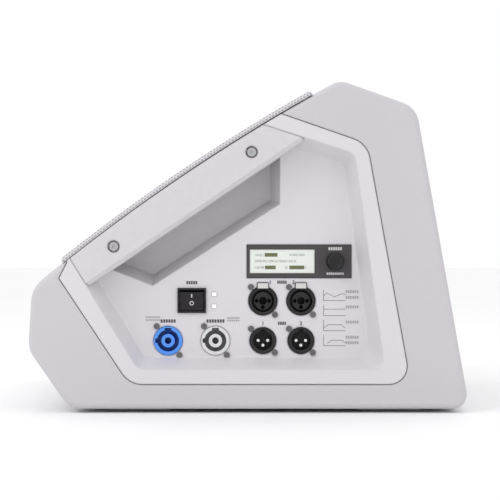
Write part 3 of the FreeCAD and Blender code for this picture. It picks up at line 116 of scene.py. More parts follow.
def buildMouldGrain():
    # fine spark-eroded texture of a moulding tool, with slow tone and gloss drift
    group, entry, leave = newGroup(
        "mouldGrain",
        [("Vector", "NodeSocketVector", None), ("Grains per metre", "NodeSocketFloat", 1400.0)],
        [("Height", "NodeSocketFloat"), ("Drift", "NodeSocketFloat"), ("Smudge", "NodeSocketFloat")])
    nodes, links = group.nodes, group.links
    vector = entry.outputs["Vector"]
    fine = noiseNode(nodes, links, vector, entry.outputs["Grains per metre"], 2.0, 0.6)
    cells = nodes.new("ShaderNodeTexVoronoi")
    links.new(vector, cells.inputs["Vector"])
    links.new(entry.outputs["Grains per metre"], cells.inputs["Scale"])
    height = mathNode(nodes, links, "MULTIPLY_ADD", cells.outputs["Distance"], 0.6, fine)
    links.new(height, leave.inputs["Height"])
    links.new(noiseNode(nodes, links, vector, 9.0, 3.0), leave.inputs["Drift"])
    smudge = rangeNode(nodes, links, noiseNode(nodes, links, vector, 38.0, 6.0, 0.65), 0.42, 0.7, 0.0, 1.0)
    links.new(smudge, leave.inputs["Smudge"])
    return group


def buildWearAndPaintedCreaseShade():
    # corners rubbed by hands and flight cases, broken up so they never look drawn; and painted shade that
    # darkens the creases, broken up the same way
    group, entry, leave = newGroup(
        "wearAndPaintedCreaseShade",
        [("Vector", "NodeSocketVector", None), ("Amount", "NodeSocketFloat", 0.4)],
        [("Worn", "NodeSocketFloat"), ("PaintedCreaseShade", "NodeSocketFloat")])
    nodes, links = group.nodes, group.links
    geometry = nodes.new("ShaderNodeNewGeometry")
    patch = noiseNode(nodes, links, entry.outputs["Vector"], 120.0, 5.0, 0.7)
    corner = rangeNode(nodes, links, geometry.outputs["Pointiness"], 0.52, 0.62, 0.0, 1.0)
    broken = rangeNode(nodes, links, patch, 0.4, 0.65, 0.0, 1.0)
    worn = mathNode(nodes, links, "MULTIPLY", corner, broken)
    links.new(mathNode(nodes, links, "MULTIPLY", worn, entry.outputs["Amount"]), leave.inputs["Worn"])
    # painted shade: a darker colour laid into concave creases and corners, where shade falls
    crease = rangeNode(nodes, links, geometry.outputs["Pointiness"], 0.49, 0.42, 0.0, 1.0)
    paintedShade = mathNode(nodes, links, "MULTIPLY", crease, patch)
    links.new(mathNode(nodes, links, "MULTIPLY", paintedShade, entry.outputs["Amount"]), leave.inputs["PaintedCreaseShade"])
    return group


def buildBrushedLines():
    group, entry, leave = newGroup(
        "brushedLines",
        [("Vector", "NodeSocketVector", None), ("Lines per metre", "NodeSocketFloat", 3000.0)],
        [("Height", "NodeSocketFloat"), ("Tone", "NodeSocketFloat")])
    nodes, links = group.nodes, group.links
    stretch = nodes.new("ShaderNodeMapping")
    stretch.inputs["Scale"].default_value = (0.04, 1.0, 1.0)
    links.new(entry.outputs["Vector"], stretch.inputs["Vector"])
    lines = noiseNode(nodes, links, stretch.outputs["Vector"], entry.outputs["Lines per metre"], 2.0)
    links.new(lines, leave.inputs["Height"])
    links.new(noiseNode(nodes, links, entry.outputs["Vector"], 60.0, 4.0), leave.inputs["Tone"])
    return group


def buildPunchedHoles():
    # staggered round holes laid out on the flat sheet before it is bent
    group, entry, leave = newGroup(
        "punchedHoles",
        [("Flat", "NodeSocketVector", None), ("Pitch", "NodeSocketFloat", 3.0),
         ("Hole", "NodeSocketFloat", 0.36)],
        [("Open", "NodeSocketFloat"), ("Lip", "NodeSocketFloat")])
    nodes, links = group.nodes, group.links
    split = nodes.new("ShaderNodeSeparateXYZ")
    links.new(entry.outputs["Flat"], split.inputs["Vector"])
    along = mathNode(nodes, links, "DIVIDE", split.outputs["X"], entry.outputs["Pitch"])
    across = mathNode(nodes, links, "DIVIDE", split.outputs["Y"], entry.outputs["Pitch"])
    rows = mathNode(nodes, links, "DIVIDE", across, 0.866)
    row = mathNode(nodes, links, "FLOOR", rows)
    odd = mathNode(nodes, links, "FLOORED_MODULO", row, 2.0)
    shifted = mathNode(nodes, links, "MULTIPLY_ADD", odd, 0.5, along)
    x = mathNode(nodes, links, "SUBTRACT", mathNode(nodes, links, "FRACT", shifted), 0.5)
    y = mathNode(nodes, links, "MULTIPLY", mathNode(nodes, links, "SUBTRACT", mathNode(
        nodes, links, "FRACT", rows), 0.5), 0.866)
    squares = mathNode(nodes, links, "ADD", mathNode(nodes, links, "MULTIPLY", x, x),
                       mathNode(nodes, links, "MULTIPLY", y, y))
    distance = mathNode(nodes, links, "SQRT", squares)
    links.new(mathNode(nodes, links, "LESS_THAN", distance, entry.outputs["Hole"]), leave.inputs["Open"])
    lip = mathNode(nodes, links, "SUBTRACT", distance, entry.outputs["Hole"])
    links.new(rangeNode(nodes, links, lip, 0.0, 0.06, 0.0, 1.0), leave.inputs["Lip"])
    return group


mouldGrain = buildMouldGrain()
wearAndPaintedCreaseShade = buildWearAndPaintedCreaseShade()
brushedLines = buildBrushedLines()
punchedHoles = buildPunchedHoles()


def placeGroup(material, group, **values):
    node = material.node_tree.nodes.new("ShaderNodeGroup")
    node.node_tree = group
    for label, value in values.items():
        node.inputs[label.replace("_", " ")].default_value = value
    return node


def startMaterial(name):
    material = bpy.data.materials.new(name)
    material.use_nodes = True
    nodes = material.node_tree.nodes
    shader = nodes["Principled BSDF"]
    place = nodes.new("ShaderNodeTexCoord").outputs["Object"]
    return material, nodes, material.node_tree.links, shader, place


def mixColour(nodes, links, factor, first, second):
    node = nodes.new("ShaderNodeMix")
    node.data_type = "RGBA"
    for index, colour in ((6, first), (7, second)):
        if isinstance(colour, (tuple, list)):
            node.inputs[index].default_value = (*colour, 1.0)
        else:
            links.new(colour, node.inputs[index])
    links.new(factor, node.inputs[0])
    return node.outputs[2]


def addBump(nodes, links, shader, height, strength, distance, soft=0.0):
    bump = nodes.new("ShaderNodeBump")
    if soft:
        rounded = nodes.new("ShaderNodeBevel")
        rounded.inputs["Radius"].default_value = soft
        links.new(rounded.outputs["Normal"], bump.inputs["Normal"])
    bump.inputs["Strength"].default_value = strength
    bump.inputs["Distance"].default_value = distance
    links.new(height, bump.inputs["Height"])
    links.new(bump.outputs["Normal"], shader.inputs["Normal"])


def mouldedFinish(name, look):
    # any moulded or powder-coated surface: grain, tone drift, handling marks, rubbed corners and painted
    # shade in the creases
    material, nodes, links, shader, place = startMaterial(name)
    grain = placeGroup(material, mouldGrain, Grains_per_metre=look["grains"])
    wearAndShade = placeGroup(material, wearAndPaintedCreaseShade, Amount=look["wearAndShade"])
    links.new(place, grain.inputs["Vector"])
    links.new(place, wearAndShade.inputs["Vector"])
    colour = mixColour(nodes, links, grain.outputs["Drift"], look["colour"], look["drift"])
    colour = mixColour(nodes, links, wearAndShade.outputs["Worn"], colour, look["rubbed"])
    # painted shade: creases take a darker colour
    colour = mixColour(nodes, links, wearAndShade.outputs["PaintedCreaseShade"], colour, look["paintedShade"])
    links.new(colour, shader.inputs["Base Color"])
    handled = look["rough"] - look["smudge"]
    rough = rangeNode(nodes, links, grain.outputs["Smudge"], 0.0, 1.0, look["rough"], handled)
    links.new(rough, shader.inputs["Roughness"])
    shader.inputs["Specular IOR Level"].default_value = look.get("shine", 0.5)
    addBump(nodes, links, shader, grain.outputs["Height"], look["depth"], 0.0001, look.get("soft", 0.0))
    return material


def metalFinish(name, look):
    material, nodes, links, shader, place = startMaterial(name)
    lines = placeGroup(material, brushedLines, Lines_per_metre=look["lines"])
    links.new(place, lines.inputs["Vector"])
    colour = mixColour(nodes, links, lines.outputs["Tone"], look["colour"], look["drift"])
    links.new(colour, shader.inputs["Base Color"])
    low, high = look["rough"] - 0.06, look["rough"] + 0.1
    rough = rangeNode(nodes, links, lines.outputs["Height"], 0.3, 0.7, low, high)
    links.new(rough, shader.inputs["Roughness"])
    shader.inputs["Metallic"].default_value = 1.0
    addBump(nodes, links, shader, lines.outputs["Height"], look["depth"], 0.00005)
    return material


# colours (one of them painted shade for creases and hole rims), then the grain's size and depth, the amount
# of wear and painted crease shade, gloss and the radius of a softened edge in metres
cabinetLook = {"colour": (0.55, 0.535, 0.56), "drift": (0.58, 0.565, 0.59), "rubbed": (0.68, 0.67, 0.69),
               "paintedShade": (0.40, 0.39, 0.40), "grains": 1500.0, "wearAndShade": 0.35, "rough": 0.52,
               "smudge": 0.07, "depth": 0.18, "soft": 0.0022}
panelLook = dict(cabinetLook, colour=(0.66, 0.64, 0.67), drift=(0.69, 0.67, 0.70))
barLook = dict(cabinetLook, colour=(0.60, 0.585, 0.61), drift=(0.63, 0.61, 0.64), wearAndShade=0.5, smudge=0.12)
footLook = dict(cabinetLook, colour=(0.48, 0.47, 0.49), drift=(0.52, 0.51, 0.53), rough=0.72,
                grains=900.0, depth=0.3)
blackLook = {"colour": (0.012, 0.012, 0.013), "drift": (0.019, 0.018, 0.02), "rubbed": (0.06, 0.06, 0.062),
             "paintedShade": (0.03, 0.028, 0.026), "grains": 2400.0, "wearAndShade": 0.4, "rough": 0.38,
             "smudge": 0.1, "depth": 0.2, "soft": 0.0005, "shine": 0.25}
bezelLook = dict(blackLook, colour=(0.062, 0.056, 0.06), drift=(0.075, 0.069, 0.072), rough=0.42)
glossLook = dict(blackLook, colour=(0.014, 0.012, 0.014), drift=(0.018, 0.016, 0.018), rough=0.24,
                 depth=0.06, smudge=0.08)
blueLook = dict(glossLook, colour=(0.07, 0.27, 0.86), drift=(0.10, 0.32, 0.9), rubbed=(0.3, 0.5, 0.95),
                rough=0.3)
whiteLook = dict(glossLook, colour=(0.66, 0.66, 0.68), drift=(0.7, 0.7, 0.72), rubbed=(0.8, 0.8, 0.8),
                 rough=0.3)
castLook = dict(blackLook, colour=(0.03, 0.03, 0.032), drift=(0.04, 0.04, 0.042), rough=0.5,
                grains=600.0, depth=0.5)
coneLook = dict(blackLook, colour=(0.02, 0.02, 0.021), drift=(0.03, 0.03, 0.031), rough=0.7,
                grains=350.0, depth=0.7)
rubberLook = dict(blackLook, colour=(0.016, 0.016, 0.016), drift=(0.022, 0.022, 0.022), rough=0.62, depth=0.1)
boardLook = dict(glossLook, colour=(0.01, 0.12, 0.045), drift=(0.015, 0.16, 0.06), rough=0.35)
clothLook = dict(blackLook, colour=(0.42, 0.28, 0.12), drift=(0.5, 0.34, 0.16), rough=0.85,
                 grains=900.0, depth=0.9)
ferriteLook = dict(blackLook, colour=(0.05, 0.05, 0.055), drift=(0.07, 0.07, 0.075), rough=0.45,
                   grains=800.0, depth=0.3)
baffleLook = dict(blackLook, colour=(0.035, 0.035, 0.037), drift=(0.045, 0.045, 0.047), rough=0.65,
                  grains=500.0, depth=0.5)
steelLook = {"colour": (0.44, 0.44, 0.46), "drift": (0.52, 0.52, 0.53), "lines": 2600.0, "rough": 0.34,
             "depth": 0.3}
brassLook = dict(steelLook, colour=(0.72, 0.52, 0.24), drift=(0.8, 0.6, 0.3), lines=1800.0, rough=0.28,
                 depth=0.2)
aluminiumLook = dict(steelLook, colour=(0.66, 0.66, 0.68), drift=(0.72, 0.72, 0.73), lines=2200.0, rough=0.36,
                     depth=0.4)
copperLook = dict(steelLook, colour=(0.62, 0.27, 0.13), drift=(0.7, 0.33, 0.17), lines=4000.0, rough=0.32,
                  depth=0.5)
nickelLook = dict(steelLook, colour=(0.62, 0.61, 0.6), drift=(0.7, 0.69, 0.68), rough=0.25, depth=0.25)
screwLook = dict(steelLook, colour=(0.13, 0.13, 0.135), drift=(0.19, 0.19, 0.195))
pinLook = dict(nickelLook, colour=(0.86, 0.86, 0.87), drift=(0.92, 0.92, 0.92), rough=0.5)
foamLook = {"cells": 900.0, "pit": (0.16, 0.16, 0.165), "strut": (0.34, 0.335, 0.345), "bump": 0.0006}
waddingLook = {"cells": 260.0, "pit": (0.3, 0.3, 0.3), "strut": (0.6, 0.6, 0.6), "bump": 0.002}


def displayGlass():
    material, nodes, links, shader, place = startMaterial("displayGlass")
    smear = placeGroup(material, mouldGrain, Grains_per_metre=300.0)
    links.new(place, smear.inputs["Vector"])
    smeared = rangeNode(nodes, links, smear.outputs["Smudge"], 0.0, 1.0, 0.08, 0.2)
    links.new(smeared, shader.inputs["Roughness"])
    glow = mixColour(nodes, links, smear.outputs["Drift"], (0.66, 0.69, 0.65), (0.72, 0.745, 0.705))
    links.new(glow, shader.inputs["Base Color"])
    links.new(glow, shader.inputs["Emission Color"])
    shader.inputs["Emission Strength"].default_value = 0.12
    return material


def lightPipeFinish():
    material, nodes, links, shader, place = startMaterial("lightPipe")
    cloud = noiseNode(nodes, links, place, 900.0, 3.0)
    colour = mixColour(nodes, links, cloud, (0.84, 0.83, 0.85), (0.92, 0.91, 0.93))
    links.new(colour, shader.inputs["Base Color"])
    links.new(colour, shader.inputs["Emission Color"])
    shader.inputs["Emission Strength"].default_value = 0.12
    shader.inputs["Roughness"].default_value = 0.25
    return material


def printedInk(name, thin, full, rough):
    # screen-printed marks: slightly broken cover over what lies under them
    material, nodes, links, shader, place = startMaterial(name)
    broken = noiseNode(nodes, links, place, 2500.0, 2.0)
    links.new(mixColour(nodes, links, broken, full, thin), shader.inputs["Base Color"])
    links.new(rangeNode(nodes, links, broken, 0.0, 1.0, rough, rough + 0.15), shader.inputs["Roughness"])
    return material


def grilleFinish(look, grille):
    # powder-coated sheet, open where it is punched, with painted shade round each hole's rim
    material, nodes, links, shader, place = startMaterial("grilleCoat")
    flat = nodes.new("ShaderNodeUVMap")
    flat.uv_map = "flatSheet"
    holes = placeGroup(material, punchedHoles, Pitch=grille["pitch"], Hole=grille["hole"])
    links.new(flat.outputs["UV"], holes.inputs["Flat"])
    grain = placeGroup(material, mouldGrain, Grains_per_metre=look["grains"])
    links.new(place, grain.inputs["Vector"])
    split = nodes.new("ShaderNodeSeparateXYZ")
    links.new(flat.outputs["UV"], split.inputs["Vector"])
    border = grille["border"]
    inside = [mathNode(nodes, links, "GREATER_THAN", split.outputs["X"], border),
              mathNode(nodes, links, "LESS_THAN", split.outputs["X"], grille["flatLong"] - border),
              mathNode(nodes, links, "GREATER_THAN", split.outputs["Y"], border),
              mathNode(nodes, links, "LESS_THAN", split.outputs["Y"], grille["flatWide"] - border)]
    field = inside[0]
    for test in inside[1:]:
        field = mathNode(nodes, links, "MULTIPLY", field, test)
    openHole = mathNode(nodes, links, "MULTIPLY", holes.outputs["Open"], field)
    links.new(mathNode(nodes, links, "SUBTRACT", 1.0, openHole), shader.inputs["Alpha"])
    colour = mixColour(nodes, links, grain.outputs["Drift"], look["colour"], look["drift"])
    # painted shade: the coat darkens towards each hole's rim
    holeRimShaded = mixColour(nodes, links, holes.outputs["Lip"], look["paintedShade"], colour)
    links.new(holeRimShaded, shader.inputs["Base Color"])
    shader.inputs["Roughness"].default_value = look["rough"]
    addBump(nodes, links, shader, grain.outputs["Height"], look["depth"], 0.0001)
    return material


def foamFinish(name, look):
    # open cells: dark pits between thin lit struts
    material, nodes, links, shader, place = startMaterial(name)
    cells = nodes.new("ShaderNodeTexVoronoi")
    cells.feature = "DISTANCE_TO_EDGE"
    cells.inputs["Scale"].default_value = look["cells"]
    links.new(place, cells.inputs["Vector"])
    strut = rangeNode(nodes, links, cells.outputs["Distance"], 0.0, 0.25, 1.0, 0.0)
    links.new(mixColour(nodes, links, strut, look["pit"], look["strut"]), shader.inputs["Base Color"])
    shader.inputs["Roughness"].default_value = 0.95
    addBump(nodes, links, shader, strut, 0.8, look["bump"])
    return material


finishes = {
    "shell_plastic": mouldedFinish("cabinetPlastic", cabinetLook),
    "panel_plastic": mouldedFinish("panelPlastic", panelLook),
    "grille_steel": mouldedFinish("grilleSteel", cabinetLook),
    "foot_rubber": mouldedFinish("footRubber", footLook),
    "black_plastic": mouldedFinish("blackPlastic", blackLook),
    "pole_plastic": mouldedFinish("polePlastic", castLook),
    "black_screw": mouldedFinish("blackScrew", ferriteLook),
    "cast_basket": mouldedFinish("castBasket", castLook),
    "surround_rubber": mouldedFinish("rollRubber", rubberLook),
    "paper_cone": mouldedFinish("pulpCone", coneLook),
    "spider_cloth": mouldedFinish("spiderCloth", clothLook),
    "ferrite": mouldedFinish("ferriteRing", ferriteLook),
    "baffle_wood": mouldedFinish("bafflePaint", baffleLook),
    "blue_plastic": mouldedFinish("blueSocket", blueLook),
    "white_plastic": mouldedFinish("whiteSocket", whiteLook),
    "gloss_black": mouldedFinish("switchBlack", glossLook),
    "board": mouldedFinish("circuitBoard", boardLook),
    "cable_rubber": mouldedFinish("cableSheath", rubberLook),
    "bolt_steel": metalFinish("boltSteel", steelLook),
    "plated_steel": metalFinish("platedSteel", steelLook),
    "aluminium": metalFinish("millAluminium", aluminiumLook),
    "contact_brass": metalFinish("contactBrass", brassLook),
    "coil_copper": metalFinish("coilCopper", copperLook),
    "latch_metal": metalFinish("latchNickel", nickelLook),
    "display_glass": displayGlass(),
    "light_pipe": lightPipeFinish(),
    "foam": foamFinish("grilleFoam", foamLook),
    "wadding": foamFinish("rearWadding", waddingLook),
}
barFinish = mouldedFinish("handlePlastic", barLook)
bezelFinish = mouldedFinish("bezelPlastic", bezelLook)
screwFinish = metalFinish("socketScrews", screwLook)
pinFinish = metalFinish("pinSilver", pinLook)
inkFinish = printedInk("printedInk", (0.10, 0.095, 0.10), (0.04, 0.036, 0.04), 0.5)
faintInkFinish = printedInk("faintInk", (0.44, 0.43, 0.45), (0.32, 0.31, 0.33), 0.5)
displayInkFinish = printedInk("displayBarInk", (0.16, 0.17, 0.08), (0.11, 0.12, 0.05), 0.3)
glyphFinish = printedInk("displayGlyphInk", (0.26, 0.27, 0.25), (0.16, 0.17, 0.15), 0.3)
paintFinish = printedInk("whitePaint", (0.72, 0.71, 0.72), (0.55, 0.54, 0.55), 0.4)
print("finishes made:", len(finishes))


ownFinishes = {"handle_bar_control": barFinish, "handle_bar_plain": barFinish, "display_bezel": bezelFinish,
               "thru_pins": pinFinish, "connector_screws": screwFinish}


def dressNode(node, slot):
    material = ownFinishes.get(node, finishes[slot])
    for item in nodeObjects(node):
        item.data.materials.clear()
        item.data.materials.append(material)


def nodeObjects(node):
    held = frame["nodes"][node]
    return held if isinstance(held, (list, tuple)) else [held]


for row in frame["record"]["subparts"]:
    dressNode(row["node"], row["material_slot"])


def newPiece(name, mesh, material, body, replaced=()):
    piece = bpy.data.objects.new(name, mesh)
    bpy.context.scene.collection.objects.link(piece)
    mesh.materials.append(material)
    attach(piece, body)
    if replaced:
        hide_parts(*replaced)
    return piece


# the front: its slope, and the grille's sheet over it

grille = {"bow": 4.93, "rise": 3.9, "corner": 2.5, "sheet": 1.2,
          "pitch": 3.0, "hole": 0.30, "border": 2.2, "alongSteps": 72, "acrossSteps": 40}
low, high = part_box("grille_panel")
joints = {joint["name"]: joint for joint in frame["record"]["behaviour"]["joints"]}
outward = Vector(joints["woofer_stroke"]["axis"])
upSlope = Vector((outward.z, 0.0, -outward.x))
lowFoot = Vector((low[0] - grille["rise"] * mm * outward.x, 0.0, low[2]))
highFoot = Vector((high[0], 0.0, high[2] - grille["rise"] * mm * outward.z))
slopeLong = (highFoot - lowFoot).dot(upSlope)


def bowAt(along):
    # how far the grille's foot bows out over the line between its two ends
    share = along / slopeLong
    return grille["bow"] * 4 * share * (1 - share) * mm


def bentPath(span, drop, radius, steps):
    # one way across the lid: up its turned edge, round the corner, over and down again
    turns = 5
    path = [(0.0, drop), (0.0, radius)]
    for turn in range(1, turns + 1):
        angle = math.radians(90 * turn / turns)
        path.append((radius * (1 - math.cos(angle)), radius * (1 - math.sin(angle))))
    for step in range(1, steps):
        path.append((radius + (span - 2 * radius) * step / steps, 0.0))
    path += [(span - place, fall) for place, fall in reversed(path[:turns + 2])]
    lengths = [0.0]
    for (x0, d0), (x1, d1) in zip(path, path[1:]):
        lengths.append(lengths[-1] + math.hypot(x1 - x0, d1 - d0))
    return path, lengths


def makeGrille():
    wide = high[1] - low[1]
    radius = grille["corner"] * mm
    rise = grille["rise"] * mm
    alongPath, alongLengths = bentPath(slopeLong, rise, radius, grille["alongSteps"])
    acrossPath, acrossLengths = bentPath(wide, rise, radius, grille["acrossSteps"])
    grille["flatLong"] = alongLengths[-1] / mm
    grille["flatWide"] = acrossLengths[-1] / mm
    mesh = bpy.data.meshes.new("grilleSheet")
    form = bmesh.new()
    flat = form.loops.layers.uv.new("flatSheet")
    rows = []
    for along, fallAlong in alongPath:
        row = []
        for across, fallAcross in acrossPath:
            lift = bowAt(along) + rise - max(fallAlong, fallAcross)
            place = lowFoot + upSlope * along + outward * lift
            row.append(form.verts.new((place.x, low[1] + across, place.z)))
        rows.append(row)
    for i in range(len(rows) - 1):
        for j in range(len(acrossPath) - 1):
            face = form.faces.new((rows[i][j], rows[i + 1][j], rows[i + 1][j + 1], rows[i][j + 1]))
            face.smooth = True
            spots = ((i, j), (i + 1, j), (i + 1, j + 1), (i, j + 1))
            for loop, (p, q) in zip(face.loops, spots):
                loop[flat].uv = (alongLengths[p] / mm, acrossLengths[q] / mm)
    bmesh.ops.dissolve_degenerate(form, edges=form.edges, dist=1e-6)
    form.normal_update()
    heart = lowFoot + upSlope * slopeLong / 2
    middle = min(form.faces, key=lambda face: (face.calc_center_median() - heart).length)
    if middle.normal.dot(outward) < 0:
        bmesh.ops.reverse_faces(form, faces=form.faces)
    form.to_mesh(mesh)
    form.free()
    coat = grilleFinish(barLook, grille)
    piece = newPiece("grilleSheet", mesh, coat, cabinetBody, ("grille_panel",))
    solid = piece.modifiers.new("sheetThickness", "SOLIDIFY")
    solid.thickness = grille["sheet"] * mm
    solid.offset = -1.0
    return piece


makeGrille()
print("grille made")


def makePad(name, node, material, crown, cell):
    # a soft slab: voxel-remeshed CAD outline, relaxed by smoothing so its edges round off
    source = nodeObjects(node)[0]
    mesh = source.data.copy()
    piece = newPiece(name, mesh, material, cabinetBody, (node,))
    mesh.materials.clear()
    mesh.materials.append(material)
    piece.modifiers.new("softEdges", "REMESH").voxel_size = cell
    relax = piece.modifiers.new("relaxed", "SMOOTH")
    relax.factor = 0.5
    relax.iterations = crown
    depsgraph = bpy.context.evaluated_depsgraph_get()
    finished = bpy.data.meshes.new_from_object(piece.evaluated_get(depsgraph))
    piece.modifiers.clear()
    piece.data = finished
    for face in finished.polygons:
        face.use_smooth = True
    return piece


makePad("grilleFoamSheet", "grille_foam", finishes["foam"], 3, 0.0022)
makePad("rearWaddingPad", "damping_pad", finishes["wadding"], 6, 0.004)
print("soft pads made")


# the control floor's printed marks, display and knob

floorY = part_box("combo_jack_1")[0][1] + 0.001
ink = {"lift": 0.00012, "line": 0.00035, "film": 0.00006, "bold": 0.00012, "thick": 0.00005}


def onFloor(x, z, lift=0.0):
    return Vector((x, floorY - ink["lift"] - lift, z))


def addRectangle(form, x, z, wide, tall, lift=0.0):
    corners = ((-1, -1), (1, -1), (1, 1), (-1, 1))
    form.faces.new([form.verts.new(onFloor(x + a * wide / 2, z + b * tall / 2, lift)) for a, b in corners])


def addLine(form, points, wide):
    for (x0, z0), (x1, z1) in zip(points, points[1:]):
        length = math.hypot(x1 - x0, z1 - z0)
        side = Vector((-(z1 - z0), x1 - x0)) * (wide / 2 / length)
        spots = ((x0 + side.x, z0 + side.y), (x0 - side.x, z0 - side.y),
                 (x1 - side.x, z1 - side.y), (x1 + side.x, z1 + side.y))
        form.faces.new([form.verts.new(onFloor(x, z)) for x, z in spots])


def centreOf(node):
    a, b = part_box(node)
    return (a[0] + b[0]) / 2, (a[2] + b[2]) / 2


graphs = {"left": 0.0633, "wide": 0.0184, "tall": 0.009, "low": 0.092, "step": 0.01257,
          "words": 0.0872, "wordWide": 0.0112}
curves = [[(0.0, 0.45), (0.15, 0.72), (0.5, 0.35), (0.85, 0.66), (1.0, 0.55)],
          [(0.0, 0.6), (1.0, 0.6)],
          [(0.03, 0.25), (0.2, 0.55), (0.8, 0.55), (0.98, 0.25)],
          [(0.18, 0.2), (0.35, 0.5), (0.85, 0.5), (1.0, 0.25)]]
graphNotes = (0.0995, 0.0946, 0.0867, 0.074, 0.0613, 0.0568)
# node, then each word's sideways shift, rise over the node's centre, width and number of strokes
headings = (("rocker_frame", 0.0, 0.0149, 0.0096, 5), ("power_in_socket", 0.0, 0.0164, 0.0131, 6),
            ("power_out_socket", 0.0, 0.0164, 0.0155, 7))
smallNotes = (("power_in_socket", -0.0128, 0.0172, 0.0125, 8),
              ("power_in_socket", -0.0128, 0.0196, 0.0125, 7),
              ("power_out_socket", 0.015, 0.0168, 0.0105, 6),
              ("power_out_socket", 0.015, 0.019, 0.0105, 7))
# sockets in a pair, then the word's rise and width between them and the digits' shift towards it
pairHeadings = (("combo_jack", 0.0156, 0.0082, 0.0062), ("thru_socket", 0.0145, 0.0071, 0.0))
wordTall = {"bold": 0.0027, "graph": 0.0024, "small": 0.0014, "digit": 0.0042}


def addStrokes(form, x, z, wide, tall, count, put=None):
    # a short run of upright strokes that stands for a printed word
    put = put or onFloor
    pitch = wide / count
    corners = ((-1, -1), (1, -1), (1, 1), (-1, 1))
    for step in range(count):
        middle = x + (step - (count - 1) / 2) * pitch
        form.faces.new([form.verts.new(put(middle + i * pitch * 0.38, z + j * tall / 2)) for i, j in corners])


def finishMarks(name, form, material):
    mesh = bpy.data.meshes.new(name)
    form.to_mesh(mesh)
    form.free()
    newPiece(name, mesh, material, cabinetBody)


def makePanelMarks():
    bold = bmesh.new()
    faint = bmesh.new()
    for index, drawn in enumerate(curves):
        left, bottom = graphs["left"], graphs["low"] - index * graphs["step"]
        wide, tall = graphs["wide"], graphs["tall"]
        addLine(bold, [(left, bottom + tall), (left, bottom), (left + wide, bottom)], ink["line"])
        addLine(bold, [(left + x * wide, bottom + y * tall) for x, y in drawn], ink["line"])
    for level in graphNotes:
        addStrokes(faint, graphs["words"], level, graphs["wordWide"], wordTall["graph"], 6)
    for node, shift, rise, wide, count in headings:
        x, z = centreOf(node)
        addStrokes(bold, x + shift, z + rise, wide, wordTall["bold"], count)
    for node, shift, rise, wide, count in smallNotes:
        x, z = centreOf(node)
        addStrokes(faint, x + shift, z + rise, wide, wordTall["small"], count)
    for node, rise, wide, shift in pairHeadings:
        first, level = centreOf(node + "_1")
        second, _ = centreOf(node + "_2")
        addStrokes(bold, (first + second) / 2, level + rise, wide, wordTall["bold"], 5)
        tall = wordTall["digit"]
        for number, x in (("1", first + shift), ("2", second - shift)):
            makeDigit(node + number, number, x, level + rise - tall / 3, tall, inkFinish)
    finishMarks("boldMarks", bold, inkFinish)
    finishMarks("faintMarks", faint, faintInkFinish)


def makeDigit(name, text, x, z, tall, material):
    curve = bpy.data.curves.new(name, "FONT")
    curve.body = text
    curve.size = tall
    curve.align_x = "CENTER"
    curve.extrude = ink["thick"]
    curve.offset = ink["bold"]
    digit = bpy.data.objects.new(name, curve)
    bpy.context.scene.collection.objects.link(digit)
    digit.data.materials.append(material)
    digit.location = onFloor(x, z)
    digit.rotation_euler = (math.pi / 2, 0.0, 0.0)
    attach(digit, cabinetBody)


makePanelMarks()

# each row: its level from the window's middle, then runs from left to right; solid bars and thin glyphs
display = {"bars": ((0.00545, -0.0146, -0.0039), (-0.0051, -0.0144, -0.0054), (-0.0051, 0.006, 0.0185)),
           "glyphs": ((0.0054, -0.0227, -0.0155), (0.0054, 0.0062, 0.0181), (0.0002, -0.0227, 0.0114),
                      (-0.0051, -0.0227, -0.0154), (-0.0051, 0.0023, 0.0043), (-0.0051, 0.0193, 0.0205)),
           "tall": 0.0031, "glyph": 0.0019, "pitch": 0.0013, "seed": 4}


def makeDisplayPicture():
    # three rows of characters, some of them picked out by a solid bar
    chance = random.Random(display["seed"])
    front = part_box("lcd_window")[0][1] - ink["film"]
    x, z = centreOf("lcd_window")
    bars, glyphs = bmesh.new(), bmesh.new()

    def cell(form, x0, x1, z0, z1):
        corners = ((x0, z0), (x1, z0), (x1, z1), (x0, z1))
        form.faces.new([form.verts.new((x + i, front, z + j)) for i, j in corners])

    for level, start, end in display["bars"]:
        cell(bars, start, end, level - display["tall"] / 2, level + display["tall"] / 2)
    half = display["glyph"] / 2
    line = 0.00024
    for level, start, end in display["glyphs"]:
        while start < end:
            wide = display["pitch"] * (0.55 + 0.15 * chance.random())
            cell(glyphs, start, start + line, level - half, level + half)
            across = level + half * chance.choice((-1.0, 0.0, 1.0))
            cell(glyphs, start + line, start + wide, across - line / 2, across + line / 2)
            if chance.random() < 0.6:
                cell(glyphs, start + wide - line, start + wide, level - half, level + half)
            start += display["pitch"]
    finishMarks("displayBars", bars, displayInkFinish)
    finishMarks("displayGlyphs", glyphs, glyphFinish)


makeDisplayPicture()

# each word's rise from the knob's middle, width, height and number of strokes
bezelWords = ((0.0107, 0.0116, 0.0026, 6), (-0.0102, 0.0146, 0.0018, 9))


def makeBezelMarks():
    # white words over and under the knob
    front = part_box("display_bezel")[0][1] - ink["film"]
    x, z = centreOf("volume_knob")

    def put(across, level):
        return Vector((across, front, level))

    form = bmesh.new()
    for rise, wide, tall, count in bezelWords:
        addStrokes(form, x, z + rise, wide, tall, count, put)
    finishMarks("bezelMarks", form, paintFinish)


makeBezelMarks()

knob = {"flutes": 24, "fluteDepth": 0.00035, "skirtShare": 0.12, "steps": 144}


